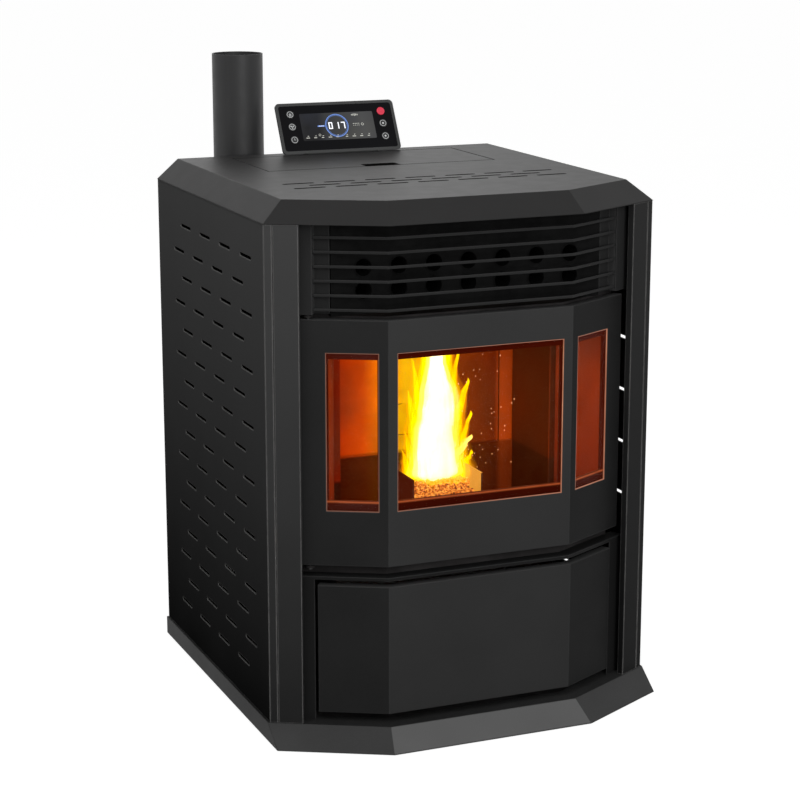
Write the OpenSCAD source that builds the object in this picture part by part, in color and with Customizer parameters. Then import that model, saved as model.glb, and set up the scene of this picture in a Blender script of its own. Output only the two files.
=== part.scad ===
// Free-standing pellet stove with a bay front, in millimetres
// +Z is up, the front looks along -Y, and the origin is on the floor at the middle of the footprint

/* [Casing] */
// Width over the side panels
body_w = 595; // [585:1:610]
// Height of the top cap's flat top above the floor
body_h = 770; // [765:1:790]
// Depth from the rear face to the front corners
side_d = 499; // [497:1:510]
// Projection of the bay in front of the front corners
bay_d = 81; // [76:1:86]
// Width of the bay's middle facet
bay_w = 290.6; // [286:0.2:300]
// Thickness of the casing sheet
sheet = 2; // [1.5:0.1:2.4]
// Setback of the panels behind the cap's rim
rim_back = 1; // [0.5:0.1:2]

/* [Plinth] */
// Height of the plinth
plinth_h = 29; // [26:0.5:32]
// Flare of the plinth's front at the floor
plinth_toe = 35; // [28:0.5:40]
// Plinth's stand-out beyond the side panels
plinth_proud = 2.5; // [1:0.5:5]
// Gap between the plinth's lower edge and the floor
plinth_gap = 1.5; // [1:0.5:4]
// Width of the plinth's top ledge
ledge_w = 34; // [30:1:40]
// Diameter of a levelling foot
foot_d = 40; // [30:1:50]
// Height of a foot's pad
foot_h = 8; // [5:0.5:12]
// Diameter of a foot's stud
foot_stud_d = 10; // [8:1:12]
// Distance of the feet from the side and rear faces
foot_in = 60; // [50:1:80]

/* [Top cap] */
// Height of the cap's sloping edge
cap_h = 29.5; // [26:0.5:32]
// Run of the cap's sloping edge
cap_in = 34; // [30:0.5:38]
// Width of the cap's inner lip
cap_lip = 24; // [23:0.5:30]
// Length of a top vent slot
vent_l = 48; // [40:1:52]
// Width of a top vent slot
vent_w = 7; // [5:0.5:8]
// Distance between top vent slots in a row
vent_pitch = 62.9; // [60:0.1:64]
// Distance between rows of top vent slots
vent_row_pitch = 24; // [20:1:26]
// Top vent slots in a full row
vent_count = 7; // [5:1:7]
// Distance of the front row behind the bay's face
vent_back = 192; // [188:1:196]

/* [Hopper lid] */
// Width of the hopper lid
lid_w = 366; // [350:1:372]
// Depth of the hopper lid
lid_d = 162; // [158:1:164]
// Distance of the lid's rear edge from the rear face
lid_back = 35; // [33:0.5:37]
// Gap all round the lid
lid_gap = 2.5; // [2.2:0.1:3]
// Depth of the lid's skirt below its top
lid_skirt = 14; // [12:0.5:16]
// Width of the finger notch
finger_w = 56; // [40:1:70]
// Depth of the finger notch
finger_d = 25; // [20:1:28]
// Setback of the lid's hinge axis from its rear edge
lid_axis_in = 6; // [5.8:0.1:6.2]
// Depth of the lid's hinge axis below its top
lid_axis_down = 5; // [4.8:0.1:5.2]
// Radius of the lid's hinge pins
lid_pin_r = 2.5; // [2:0.1:2.8]

/* [Side slots] */
// Length of a slot
slot_l = 50; // [40:1:54]
// Width of a slot
slot_w = 5; // [4:0.5:6]
// Distance of the first slot's middle from the front corner
slot_first = 79; // [75:1:83]
// Distance between slots in a row
slot_pitch = 92.6; // [88:0.1:96]
// Shift of every second row
slot_stagger = 36; // [30:1:40]
// Distance between rows
slot_row_pitch = 40; // [38:0.5:42]
// Distance of the top row below the cap's rim
slot_drop = 55; // [50:1:60]
// Slots in a row
slot_count = 4; // [3:1:4]

/* [Corner pillars] */
// Width of a pillar's face along the facet
pillar_w = 47; // [44:0.5:48]
// Length of a pillar's return behind the side panel
pillar_return = 20; // [15:1:30]
// Depth of a pillar's inner hem
pillar_hem = 10; // [6:0.5:12]

/* [Front frame] */
// Setback of the door and the front frame behind the cap's rim
front_in = 20; // [19:0.5:21]
// Half width of the front frame, which reaches behind the pillars
frame_half = 262; // [260:0.5:266]
// Half width of the openings in the front frame
opening_half = 232; // [230:0.5:234]
// Gap over the door
door_gap = 6; // [5:0.5:8]
// Gap under the door
door_gap_low = 16; // [14:0.5:18]
// Height of the strip over the ash drawer
strip_h = 5; // [4:0.5:7]
// Depth of the cheeks beside the grille
cheek_d = 34; // [30:1:38]
// Distance between grille blades
blade_pitch = 19.9; // [19:0.1:20.5]
// Least gap between the top blade and the cap
blade_clear = 10; // [8:0.5:12]
// Height of the lowest blade above the door
blade_low = 11; // [9:0.5:13]
// Depth of a blade
blade_d = 10; // [8:0.5:11]
// Height of a blade's front lip
blade_lip = 4; // [3:0.5:5]

/* [Fire door] */
// Height of the door's lower edge
door_low = 258; // [254:1:262]
// Height of the door
door_h = 350; // [346:1:354]
// Half width of the door
door_half = 247.5; // [246:0.5:249]
// Depth of the door's folded rim
door_rim = 14; // [13:0.5:15]
// Height of the windows' lower edge above the door's lower edge
window_up = 79; // [76:1:84]
// Distance of the windows' upper edge below the door's upper edge
window_down = 46; // [40:1:54]
// Distance of the middle window from the bay's kinks
window_in = 18.3; // [17:0.1:24]
// Distance of a side window from the bay's kink
side_window_in = 13; // [12:0.5:18]
// Distance of a side window from the door's end
side_window_out = 34.4; // [33:0.1:42]
// Thickness of the glass
glass_t = 4; // [3:0.5:5]
// Lap of the glass behind the window's edge
glass_lap = 7; // [5:0.5:8]
// Thickness of the door's inner frame
inner_t = 4; // [3:0.5:5]
// Half width of the door's inner frame
inner_half = 231; // [229:0.5:232]
// Setback of the inner frame from the door's upper and lower edges
inner_edge = 6; // [5:0.5:7]
// Lap of the inner frame over the windows' lower edges
inner_lap_low = 14; // [10:1:18]
// Lap of the inner frame over the windows' upper edges
inner_lap_high = 10; // [6:1:12]
// Lap of the inner frame over the windows' ends
inner_lap_side = 3; // [1:0.5:4]
// Width of the rope gasket
gasket_w = 8; // [6:0.5:8]
// Thickness of the rope gasket
gasket_t = 10; // [9:0.5:11]
// Distance of the hinge axis from the door's left end
hinge_in = 10; // [9.5:0.5:10.5]
// Depth of the hinge axis behind the door's face
hinge_deep = 7; // [6.5:0.5:7.5]
// Radius of the door's hinge pins
pin_r = 3.5; // [3:0.1:3.8]
// Length of a hinge pin inside the door
pin_l = 30; // [20:1:36]
// Wall of the hinge barrels
barrel_wall = 1.7; // [1.5:0.1:1.8]
// Height of the latch's axis above the door's lower edge
latch_up = 230; // [215:1:245]
// Depth of the latch's axis behind the door's face
latch_deep = 7; // [6.5:0.5:7.5]
// Radius of the latch's shaft
latch_r = 3.5; // [3:0.1:3.6]
// Angle that the open latch is lifted by
latch_lift = 40; // [38:1:42]

/* [Ash drawer] */
// Setback of the drawer's face behind the cap's rim
drawer_in = 16; // [14:0.5:17]
// Half width of the drawer's face
drawer_half = 230; // [226:0.5:230]
// Gap under the drawer's face
drawer_foot = 13; // [10:1:14]
// Gap over the drawer's face
drawer_grip = 7; // [6:0.5:9]
// Half width of the ash pan
pan_half = 156; // [140:1:158]
// Length of the ash pan
pan_l = 245; // [220:1:248]
// Height of the ash pan
pan_h = 130; // [100:1:150]
// Height of the drawer rails above the plinth
rail_up = 30; // [25:1:34]

/* [Firebox] */
// Thickness of the firebox plate
plate = 3; // [2.5:0.1:3.5]
// Half width of the firebox's front
fb_half = 228; // [226:0.5:230]
// Half width of the frame round the firebox's mouth
fb_frame_half = 240; // [238:0.5:242]
// Half width of the firebox behind the splayed front
fb_deep_half = 178; // [176:0.5:180]
// Depth of the firebox behind its front frame
fb_d = 251; // [248:1:253]
// Depth of the firebox's straight rear part
fb_straight = 153; // [148:1:158]
// Thickness of the back liner
liner_t = 20; // [16:1:22]
// Height of the lower lining bricks
brick_h = 80; // [70:1:90]
// Thickness of the side liners
side_liner_t = 10; // [8:0.5:12]
// Half width of the burn pot
pot_half = 56; // [50:1:60]
// Depth of the burn pot, front to back
pot_d = 100; // [90:1:104]
// Height of the burn pot's side walls
pot_h = 72; // [66:1:78]
// Height of the burn pot's front wall
pot_front_h = 42; // [38:1:46]
// Distance of the burn pot from the back liner
pot_back = 36; // [30:1:40]

/* [Heat exchanger] */
// Outer diameter of a heat exchanger tube
tube_d = 27; // [24:0.5:28]
// Wall of a heat exchanger tube
tube_wall = 1.5; // [1:0.1:2]
// Distance between tubes
tube_pitch = 52.5; // [50:0.5:55]
// Distance between rows of tubes
tube_row_pitch = 32; // [31:0.5:34]
// Tubes in a row
tube_count = 7; // [5:1:7]
// Distance of the upper row of tubes below the heat exchanger's top
tube_down = 29; // [26:0.5:31]
// Gap between the heat exchanger and the stove's side
hx_in = 92.5; // [91.5:0.5:97.5]
// Gap between the heat exchanger and the top cap
hx_clear = 36.5; // [30:0.5:40]
// Depth of the warm air plenum behind the tubes
plenum_d = 46; // [40:1:48]

/* [Fuel feed] */
// Half width of the hopper
hopper_half = 165; // [150:1:167]
// Wall of the hopper and of the chute
tin = 1.5; // [1:0.1:2]
// Height of the hopper's outlet
outlet_z = 375; // [372:1:380]
// Height where the hopper starts to taper
taper_z = 520; // [500:1:560]
// Half width of the hopper's outlet
outlet_half = 27; // [24:0.5:28]
// Outer radius of the auger tube
auger_r = 28; // [26:0.5:30]
// Length of the auger tube
auger_l = 230; // [225:1:235]
// Tilt of the auger tube from upright
auger_tilt = 40.6; // [39:0.1:42]
// Pitch of the auger's flight
auger_pitch = 42; // [36:1:48]

/* [Fans] */
// Radius of the exhaust fan's casing
smoke_fan_r = 75; // [70:1:77]
// Width of the exhaust fan's casing
smoke_fan_w = 84; // [83:0.5:85]
// Radius of the room fan's casing
room_fan_r = 80; // [74:1:82]
// Width of the room fan's casing
room_fan_w = 90; // [84:1:92]
// Distance of the room fan's middle from the right side
room_fan_in = 142.5; // [140:0.5:144]
// Gap between a fan's wheel and its casing
wheel_gap = 12; // [10:0.5:14]
// Radius of the fans' shafts
fan_shaft_r = 4; // [3:0.5:5]

/* [Flue] */
// Diameter of the flue pipe
pipe_d = 80; // [78:1:80]
// Wall of the flue pipe
pipe_wall = 1.5; // [1:0.1:2]
// Height of the flue pipe's top
pipe_top = 924; // [900:1:960]
// Distance of the pipe from the stove's middle, to the left
pipe_left = 144; // [143:0.5:145]
// Height of the flue outlet
flue_z = 170; // [168:1:172]
// Outer diameter of the tee's collars
tee_d = 88; // [87:0.5:90]
// Clear gap between the tee's collars and the rear face
tee_gap = 16; // [15:0.5:20]
// Diameter of the air intake pipe
intake_d = 50; // [46:1:50]
// Length of the air intake's stub
intake_l = 38; // [30:1:50]
// Distance of the air intake from the stove's middle, to the right
intake_x = 76; // [72:0.5:80]
// Height of the air intake
intake_z = 235; // [230:1:240]
// Distance of the power inlet from the right side
inlet_in = 65.5; // [62:0.5:70]
// Height of the power inlet
inlet_z = 120; // [110:1:130]
// Width of the power inlet's body
inlet_w = 48; // [46:1:50]
// Height of the power inlet's body
inlet_h = 28; // [26:1:30]
// Distance between vent slots in the rear panel
rear_pitch = 60; // [56:1:64]

/* [Control panel] */
// Width of the control panel
panel_w = 200; // [190:1:206]
// Height of the control panel along its face
panel_l = 86; // [82:1:90]
// Thickness of the control panel
panel_t = 14; // [13:0.5:16]
// Inward slope of the control panel's sides towards its back
panel_taper = 6; // [4:0.5:8]
// Lean of the control panel from upright
panel_lean = 29; // [26:0.5:32]
// Distance of the button columns from the middle
button_x = 77; // [75:0.5:79]
// Radius of a button
button_r = 6.5; // [5:0.1:6.8]

/* [Fits] */
// Gap between pieces that move past each other
move_gap = 0.4; // [0.3:0.05:0.5]
// Radial play of a pin in its bore
pin_play = 0.05; // [0.03:0.01:0.08]

/* [Hidden] */
$fn = 48;
eps = 0.01;

// Colours of the finishes
black_coat = [0.16, 0.16, 0.16];
side_coat = [0.22, 0.22, 0.22];
cap_coat = [0.30, 0.30, 0.30];
dark_steel = [0.10, 0.10, 0.11];
raw_steel = [0.55, 0.56, 0.57];
brick = [0.45, 0.33, 0.24];
amber_glass = [0.75, 0.45, 0.20, 0.4];
gloss_black = [0.04, 0.04, 0.05];

// Plan of the casing: the bay's facets, its kinks and the walls that run parallel to them
half_w = body_w / 2;
facet_turn = atan2(bay_d, half_w - bay_w / 2);
total_d = plinth_toe + bay_d + side_d + tee_gap + tee_d;
back_y = total_d / 2 - tee_gap - tee_d;
corner_y = back_y - side_d;
face_y = corner_y - bay_d;
function face_at(d) = face_y + d;
function kink_at(d) = bay_w / 2 - d * tan(facet_turn / 2);
function wall_at(d, x) = face_at(d) + (x - kink_at(d)) * tan(facet_turn);
function bay_line(d, half) = [
    [-half, wall_at(d, half)], [-kink_at(d), face_at(d)], [kink_at(d), face_at(d)], [half, wall_at(d, half)]
];
function turned_round(list) = [for (i = [len(list) - 1 : -1 : 0]) list[i]];
function bay_band(d, t, half) = concat(
    bay_line(d, half), turned_round(bay_line(d + t, half - t * sin(facet_turn)))
);
function casing_plan(side_in, front_at, rear) = concat(
    [[-half_w + side_in, rear]], bay_line(front_at, half_w - side_in), [[half_w - side_in, rear]]
);
function along_facet(d, x) = (x - kink_at(d)) / cos(facet_turn);
// Half width at which a square end, cut at one setback, reaches a deeper setback
function end_at(half, d, deeper) = half - (deeper - d) * sin(facet_turn);

// Heights
cap_z = body_h - cap_h;
door_top = door_low + door_h;
frame_low_top = door_low - door_gap_low;
grille_z = door_top + door_gap;
fb_low = door_low + 12;
fb_top = door_top + 2;
window_low = door_low + window_up;
blade_count = floor((cap_z - door_top - blade_low - blade_lip - blade_clear) / blade_pitch) + 1;
blade_t = 1.5;
bay_cut = 2 * bay_d;
window_h = door_h - window_up - window_down;
window_w = bay_w - 2 * window_in;
panel_rows = floor((cap_z - plinth_h - slot_drop - 30) / slot_row_pitch) + 1;

// Depths inside the casing
door_end_u = along_facet(front_in, door_half);
side_window_w = door_end_u - side_window_in - side_window_out;
glass_in = front_in + sheet;
inner_in = glass_in + glass_t;
gasket_in = inner_in + inner_t;
fb_frame_in = gasket_in + gasket_t + move_gap;
fb_in = fb_frame_in + plate;
fb_front_y = face_at(fb_in);
fb_back_y = fb_front_y + fb_d;
splay_y = fb_back_y - fb_straight;
liner_y = fb_back_y - plate - liner_t;
hx_half = half_w - hx_in;
hx_h = cap_z - fb_top - hx_clear;
hx_front_y = wall_at(front_in + sheet + blade_d + 1, hx_half);
pot_y = liner_y - pot_back - pot_d;
lid_y1 = back_y - lid_back;
lid_y0 = lid_y1 - lid_d;
lid_axis_y = lid_y1 - lid_axis_in;
lid_axis_z = body_h - lid_axis_down;
duct_y1 = fb_back_y + plenum_d;

// Hopper and auger
hopper_top = body_h - lid_skirt - 2;
hopper_y0 = lid_y0 + 4;
hopper_y1 = lid_y1 - 4;
outlet_back = 143;
outlet_d = 56;
outlet_y0 = back_y - outlet_back;
outlet_y1 = outlet_y0 + outlet_d;
auger_back = 85;
auger_drop = 120;
auger_foot = [0, back_y - auger_back, outlet_z - auger_drop];
auger_bore = auger_r - 2;
auger_end = 4;
neck_up = 5;
neck_low = auger_foot[2] + neck_up;
motor_l = 75;
motor_half = auger_r + 4;
hopper_rim = lid_gap + 3.5;

// Fans
smoke_x = -pipe_left;
smoke_fan_back = 105;
smoke_fan_drop = 33;
smoke_fan_y = back_y - smoke_fan_back;
smoke_fan_z = flue_z - smoke_fan_drop;
room_x = half_w - room_fan_in;
room_fan_y = duct_y1 + room_fan_r - plenum_d;
room_fan_z = 150;

// Flue
pipe_y = back_y + tee_gap + tee_d / 2;
pipe_r = pipe_d / 2;
tee_r = pipe_r + 2;
tee_foot = 74;
tee_head = 86;
tee_low = flue_z - tee_foot;
tee_high = flue_z + tee_head;
socket_l = 40;

// Rear panel
rear_t = 1.5;
inlet_x = half_w - inlet_in;

// Control panel
panel_y = lid_y1 + lid_gap + 3.5;
panel_lift = 1.5;
panel_r = 7;
panel_rim = 3;
face_margin = 5;
face_w = panel_w - 2 * face_margin;
face_l = panel_l - 2 * face_margin;
face_r = 4;
face_in = 0.5;
face_t = 2;
button_l = 6;
gusset_x = 50;
gusset_w = 6;
base_half = 60;
button_rows = [67, 46, 24];

// A plate in the XZ plane with rounded corners, its front at y = 0 and its back at y = t
module rounded_plate(w, h, r, t) {
    translate([0, t, 0]) rotate([90, 0, 0]) linear_extrude(t) {
        translate([-w / 2 + r, 0]) square([w - 2 * r, h]);
        translate([-w / 2, r]) square([w, h - 2 * r]);
        for (sx = [-1, 1]) for (z = [r, h - r]) translate([sx * (w / 2 - r), z]) circle(r);
    }
}

// A slot with round ends, its length along X
module slot_2d(l, w) {
    square([l - w, w], center = true);
    for (s = [-1, 1]) translate([s * (l - w) / 2, 0]) circle(d = w, $fn = 24);
}

// Moves a piece to a bay facet: X runs outwards along the facet, Y goes inwards, from the kink
module on_facet(d, side) {
    mirror([side < 0 ? 1 : 0, 0, 0])
        translate([kink_at(d), face_at(d), 0]) rotate([0, 0, facet_turn]) children();
}

// Base: the sloping front's wall is thicker along the floor than square to it
toe_wall = 1.6 * sheet;
module base_plinth() color(black_coat) difference() {
    hull() {
        translate([0, 0, plinth_gap]) linear_extrude(eps)
            polygon(casing_plan(-plinth_proud, -plinth_toe, back_y));
        translate([0, 0, plinth_h - eps]) linear_extrude(eps)
            polygon(casing_plan(-plinth_proud, 0, back_y));
    }
    hull() {
        translate([0, 0, plinth_gap - eps]) linear_extrude(eps)
            polygon(casing_plan(sheet - plinth_proud, toe_wall - plinth_toe, back_y - sheet));
        translate([0, 0, plinth_h - sheet]) linear_extrude(eps)
            polygon(casing_plan(sheet - plinth_proud, toe_wall, back_y - sheet));
    }
    linear_extrude(plinth_h + 1) polygon(casing_plan(ledge_w, ledge_w, back_y - ledge_w));
}

floor_top = plinth_h - sheet;
module floor_pan() color(dark_steel) translate([0, 0, floor_top - sheet]) linear_extrude(sheet)
    polygon(casing_plan(2 * sheet, 4 * sheet, back_y - 2 * sheet));

module levelling_feet() color(dark_steel)
    for (sx = [-1, 1]) for (y = [corner_y + foot_in, back_y - foot_in])
        translate([sx * (half_w - foot_in), y, 0]) {
            cylinder(h = foot_h, d = foot_d);
            cylinder(h = floor_top - sheet, d = foot_stud_d);
        }

// Casing
flange = 15;
module side_panel() color(side_coat) {
    x_out = half_w - rim_back;
    x_in = x_out - sheet;
    low = plinth_h;
    difference() {
        translate([0, 0, low]) linear_extrude(cap_z - low) polygon([
            [x_out, wall_at(rim_back + sheet, x_out)], [x_out, back_y - rear_t],
            [x_in - flange, back_y - rear_t], [x_in - flange, back_y - rear_t - sheet],
            [x_in, back_y - rear_t - sheet], [x_in, wall_at(rim_back + sheet, x_in)]
        ]);
        for (row = [0 : panel_rows - 1]) for (i = [0 : slot_count - 1])
            translate([x_in - 1, corner_y + slot_first + i * slot_pitch + (row % 2) * slot_stagger,
                       cap_z - slot_drop - row * slot_row_pitch])
                rotate([90, 0, 90]) linear_extrude(sheet + 2) slot_2d(slot_l, slot_w);
    }
}
module right_side_panel() side_panel();
module left_side_panel() mirror([1, 0, 0]) side_panel();

module rear_panel() color(dark_steel) difference() {
    translate([-half_w + rim_back, back_y - rear_t, plinth_h])
        cube([body_w - 2 * rim_back, rear_t, cap_z - plinth_h]);
    translate([smoke_x, back_y + 1, flue_z]) rotate([90, 0, 0]) cylinder(h = 10, r = pipe_r);
    translate([intake_x, back_y + 1, intake_z]) rotate([90, 0, 0]) cylinder(h = 10, r = intake_d / 2 - 1);
    translate([inlet_x - inlet_w / 2, back_y - 5, inlet_z - inlet_h / 2]) cube([inlet_w, 10, inlet_h]);
    for (row = [0 : 7]) for (side = [-0.5, 0.5])
        translate([room_x + side * rear_pitch, back_y + 1, room_fan_z + (row - 3.5) * 3.2 * slot_w])
            rotate([90, 0, 0]) linear_extrude(10) slot_2d(slot_l, slot_w);
    for (row = [0 : 5]) for (i = [-2 : 2])
        translate([i * rear_pitch, back_y + 1, cap_z - slot_drop - row * 4 * slot_w])
            rotate([90, 0, 0]) linear_extrude(10) slot_2d(slot_l, slot_w);
}

module pillar() color(side_coat) {
    x_out = half_w - rim_back;
    x_in = x_out - sheet;
    in_back = rim_back + sheet;
    end_u = along_facet(rim_back, x_out) - pillar_w;
    translate([0, 0, plinth_h]) linear_extrude(cap_z - plinth_h) {
        polygon([
            [x_out, wall_at(rim_back, x_out)], [x_out, wall_at(in_back, x_out)],
            [x_in, wall_at(in_back, x_in)], [x_in, wall_at(in_back, x_in) + pillar_return],
            [x_in - sheet, wall_at(in_back, x_in) + pillar_return],
            [x_in - sheet, wall_at(in_back, x_in - sheet)],
            [x_in - 8, wall_at(in_back, x_in - 8)], [x_in - 8, wall_at(rim_back, x_in - 8)]
        ]);
        translate([kink_at(rim_back), face_at(rim_back)]) rotate(facet_turn) {
            translate([end_u, 0]) square([pillar_w - 12, sheet]);
            translate([end_u, 0]) square([sheet, pillar_hem]);
        }
    }
}
module right_pillar() pillar();
module left_pillar() mirror([1, 0, 0]) pillar();

module top_cap() color(cap_coat) difference() {
    hull() {
        translate([0, 0, cap_z]) linear_extrude(eps) polygon(casing_plan(0, 0, back_y));
        translate([0, 0, body_h - eps]) linear_extrude(eps) polygon(casing_plan(cap_in, cap_in, back_y));
    }
    hull() {
        translate([0, 0, cap_z + sheet]) linear_extrude(eps)
            polygon(casing_plan(2.6 * sheet, 2.6 * sheet, back_y - sheet));
        translate([0, 0, body_h - sheet - eps]) linear_extrude(eps)
            polygon(casing_plan(cap_in + 0.5 * sheet, cap_in + 0.5 * sheet, back_y - sheet));
    }
    translate([0, 0, cap_z - 1]) linear_extrude(sheet + 2)
        polygon(casing_plan(cap_lip, cap_lip, back_y - cap_lip));
    translate([-lid_w / 2 - lid_gap, lid_y0 - lid_gap, body_h - 10])
        cube([lid_w + 2 * lid_gap, lid_d + 2 * lid_gap, 20]);
    for (row = [0 : 2]) {
        count = vent_count - row % 2;
        for (i = [0 : count - 1])
            translate([(i - (count - 1) / 2) * vent_pitch, face_y + vent_back + row * vent_row_pitch,
                       body_h - sheet - 1])
                linear_extrude(sheet + 2) slot_2d(vent_l, vent_w);
    }
}

// Front frame: grille above the door and the frame round the ash drawer
module grille_frame() color(black_coat) {
    translate([0, 0, grille_z]) linear_extrude(cap_z - grille_z) difference() {
        polygon(bay_band(front_in, sheet, frame_half));
        translate([-opening_half, face_y]) square([2 * opening_half, bay_cut]);
    }
    cheek_u = along_facet(front_in, opening_half);
    for (side = [-1, 1]) on_facet(front_in, side)
        translate([cheek_u, sheet, grille_z]) cube([sheet, cheek_d, cap_z - grille_z]);
    wing_d = sheet + blade_d + 1;
    wing_u = along_facet(front_in, hx_half + move_gap + (wing_d + sheet) * sin(facet_turn));
    for (side = [-1, 1]) on_facet(front_in, side)
        translate([wing_u, wing_d, grille_z]) cube([cheek_u + sheet - wing_u, sheet, cap_z - grille_z]);
}

module grille_blades() color(black_coat) {
    half = end_at(opening_half, 0, sheet);
    for (i = [0 : blade_count - 1]) translate([0, 0, door_top + blade_low + i * blade_pitch]) {
        linear_extrude(blade_lip) polygon(bay_band(front_in + sheet, blade_t, half));
        linear_extrude(blade_t) polygon(bay_band(front_in + sheet, blade_d, half));
    }
}

drawer_z0 = plinth_h + drawer_foot;
drawer_z1 = frame_low_top - strip_h - drawer_grip;
module lower_frame() color(black_coat) {
    difference() {
        translate([0, 0, plinth_h]) linear_extrude(frame_low_top - plinth_h)
            polygon(bay_band(front_in, sheet, frame_half));
        translate([-opening_half, face_y, 0]) cube([2 * opening_half, bay_cut, drawer_z1 + drawer_grip]);
    }
    translate([0, 0, frame_low_top - sheet]) linear_extrude(sheet)
        polygon(bay_band(front_in + sheet, fb_frame_in - front_in - sheet, frame_half - sheet));
}

// Firebox: a plate box with a bay front, splayed behind the side windows
function fb_plan(t) = concat(
    [[-fb_deep_half + t, fb_back_y - t], [-fb_deep_half + t, splay_y - t / 3]],
    bay_line(fb_in, fb_half - t), [[fb_deep_half - t, splay_y - t / 3], [fb_deep_half - t, fb_back_y - t]]
);
smoke_duct_x0 = smoke_x + smoke_fan_w / 2;
smoke_duct_w = 40;
port_drop = 60;
port_h = 40;
smoke_port_x = smoke_duct_x0 + sheet;
smoke_port_w = smoke_duct_w - 2 * sheet;
// Opening between the firebox and the heat exchanger
flue_mouth_side = 12;
flue_mouth_in = 40;
flue_mouth_d = 130;
module smoke_opening()
    translate([-fb_deep_half + flue_mouth_side, hx_front_y + flue_mouth_in, fb_top - 2 * plate])
        cube([2 * (fb_deep_half - flue_mouth_side), flue_mouth_d, 4 * plate]);
module firebox_shell() color(dark_steel) difference() {
    translate([0, 0, fb_low]) linear_extrude(fb_top - fb_low) polygon(fb_plan(0));
    translate([0, 0, fb_low + plate]) linear_extrude(fb_top - fb_low - 2 * plate) {
        polygon(fb_plan(plate));
        polygon(bay_band(fb_in - 1, 2, fb_half - plate));
    }
    translate([-pot_half + 8, pot_y + 8, fb_low - 1]) cube([2 * pot_half - 16, pot_d - 16, plate + 2]);
    for (sx = [-1, 1]) for (i = [0 : 4])
        translate([sx * (pot_half + 22 + i * 18), pot_y + pot_d / 2, fb_low - 1]) rotate([0, 0, 90])
            linear_extrude(plate + 2) slot_2d(90, 8);
    smoke_opening();
    translate([-outlet_half, fb_back_y - 10, chute_z0]) cube([2 * outlet_half, 20, chute_h]);
    translate([smoke_port_x, fb_back_y - 2 * plate, fb_top - port_drop])
        cube([smoke_port_w, 4 * plate, port_h]);
    translate([0, fb_back_y + 10, igniter_z]) rotate([90, 0, 0]) cylinder(h = 20, r = igniter_r);
}

mouth_in = gasket_w + 2;
module firebox_front_frame() color(dark_steel) difference() {
    translate([0, 0, frame_low_top - sheet]) linear_extrude(grille_z - frame_low_top + sheet)
        polygon(bay_band(fb_frame_in, plate, fb_frame_half));
    translate([-hx_half, face_y, fb_top]) cube([2 * hx_half, bay_cut, 20]);
    translate([-inner_half + mouth_in, face_y, door_low + inner_edge + mouth_in])
        cube([2 * (inner_half - mouth_in), bay_cut, door_h - 2 * inner_edge - 2 * mouth_in]);
}

liner_h = fb_top - fb_low - 40;
brick_proud = 6;
rib_proud = 4;
rib_w = 22;
module back_liner() color(brick) difference() {
    union() {
        translate([-fb_deep_half + plate, liner_y, fb_low + plate])
            cube([2 * (fb_deep_half - plate), liner_t, liner_h]);
        translate([-fb_deep_half + plate, liner_y - brick_proud, fb_low + plate])
            cube([2 * (fb_deep_half - plate), brick_proud + 1, brick_h]);
        for (sx = [-1, 1])
            translate([sx * (fb_deep_half - plate - side_liner_t - rib_w / 2) - rib_w / 2,
                       liner_y - rib_proud, fb_low + plate])
                cube([rib_w, rib_proud + 1, liner_h]);
    }
    translate([-outlet_half, liner_y - 20, chute_z0]) cube([2 * outlet_half, liner_t + 30, chute_h]);
    translate([0, fb_back_y, igniter_z]) rotate([90, 0, 0]) cylinder(h = 3 * liner_t, r = igniter_r);
}

module side_liners() color(brick) for (sx = [-1, 1]) {
    d = liner_y - brick_proud - splay_y;
    translate([sx * (fb_deep_half - plate - side_liner_t / 2) - side_liner_t / 2, splay_y, fb_low + plate])
        cube([side_liner_t, d, liner_h]);
}

baffle_t = 12;
baffle_front = 70;
baffle_rear = 30;
module baffle() color(brick)
    translate([-fb_deep_half + plate, fb_front_y + baffle_front, fb_top - 30 - plate])
        cube([2 * (fb_deep_half - plate), liner_y - fb_front_y - baffle_front - baffle_rear, baffle_t]);

pot_z = fb_low + plate;
module burn_pot() color(dark_steel) translate([0, pot_y, pot_z]) difference() {
    translate([-pot_half, 0, 0]) cube([2 * pot_half, pot_d, pot_h]);
    translate([-pot_half + plate, plate, 5]) cube([2 * (pot_half - plate), pot_d - 2 * plate, pot_h]);
    translate([-pot_half + plate, -1, pot_front_h]) cube([2 * (pot_half - plate), plate + 2, pot_h]);
    for (ix = [-3 : 3]) for (iy = [1 : 5])
        translate([ix * 13, iy * pot_d / 6, -1]) cylinder(h = 8, r = 2.5, $fn = 24);
    translate([0, pot_d + 1, igniter_z - pot_z]) rotate([90, 0, 0])
        cylinder(h = plate + 2, r = igniter_r + 1);
}

igniter_r = 6;
igniter_z = fb_low + 28;
module igniter() color(raw_steel) {
    translate([0, fb_back_y + 40, igniter_z]) rotate([90, 0, 0])
        cylinder(h = fb_back_y + 40 - pot_y - pot_d + 20, r = igniter_r);
    translate([0, fb_back_y + 40, igniter_z]) rotate([90, 0, 0]) cylinder(h = 40, r = igniter_r + 5);
}

support_w = 20;
module firebox_supports() color(dark_steel) for (sx = [-1, 1]) mirror([sx < 0 ? 1 : 0, 0, 0]) {
    translate([fb_deep_half - 2 * sheet, splay_y, floor_top])
        cube([sheet, fb_straight, fb_low - floor_top]);
    for (z = [floor_top, fb_low - sheet])
        translate([fb_deep_half - 2 * sheet, splay_y, z]) cube([support_w, fb_straight, sheet]);
}

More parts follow.
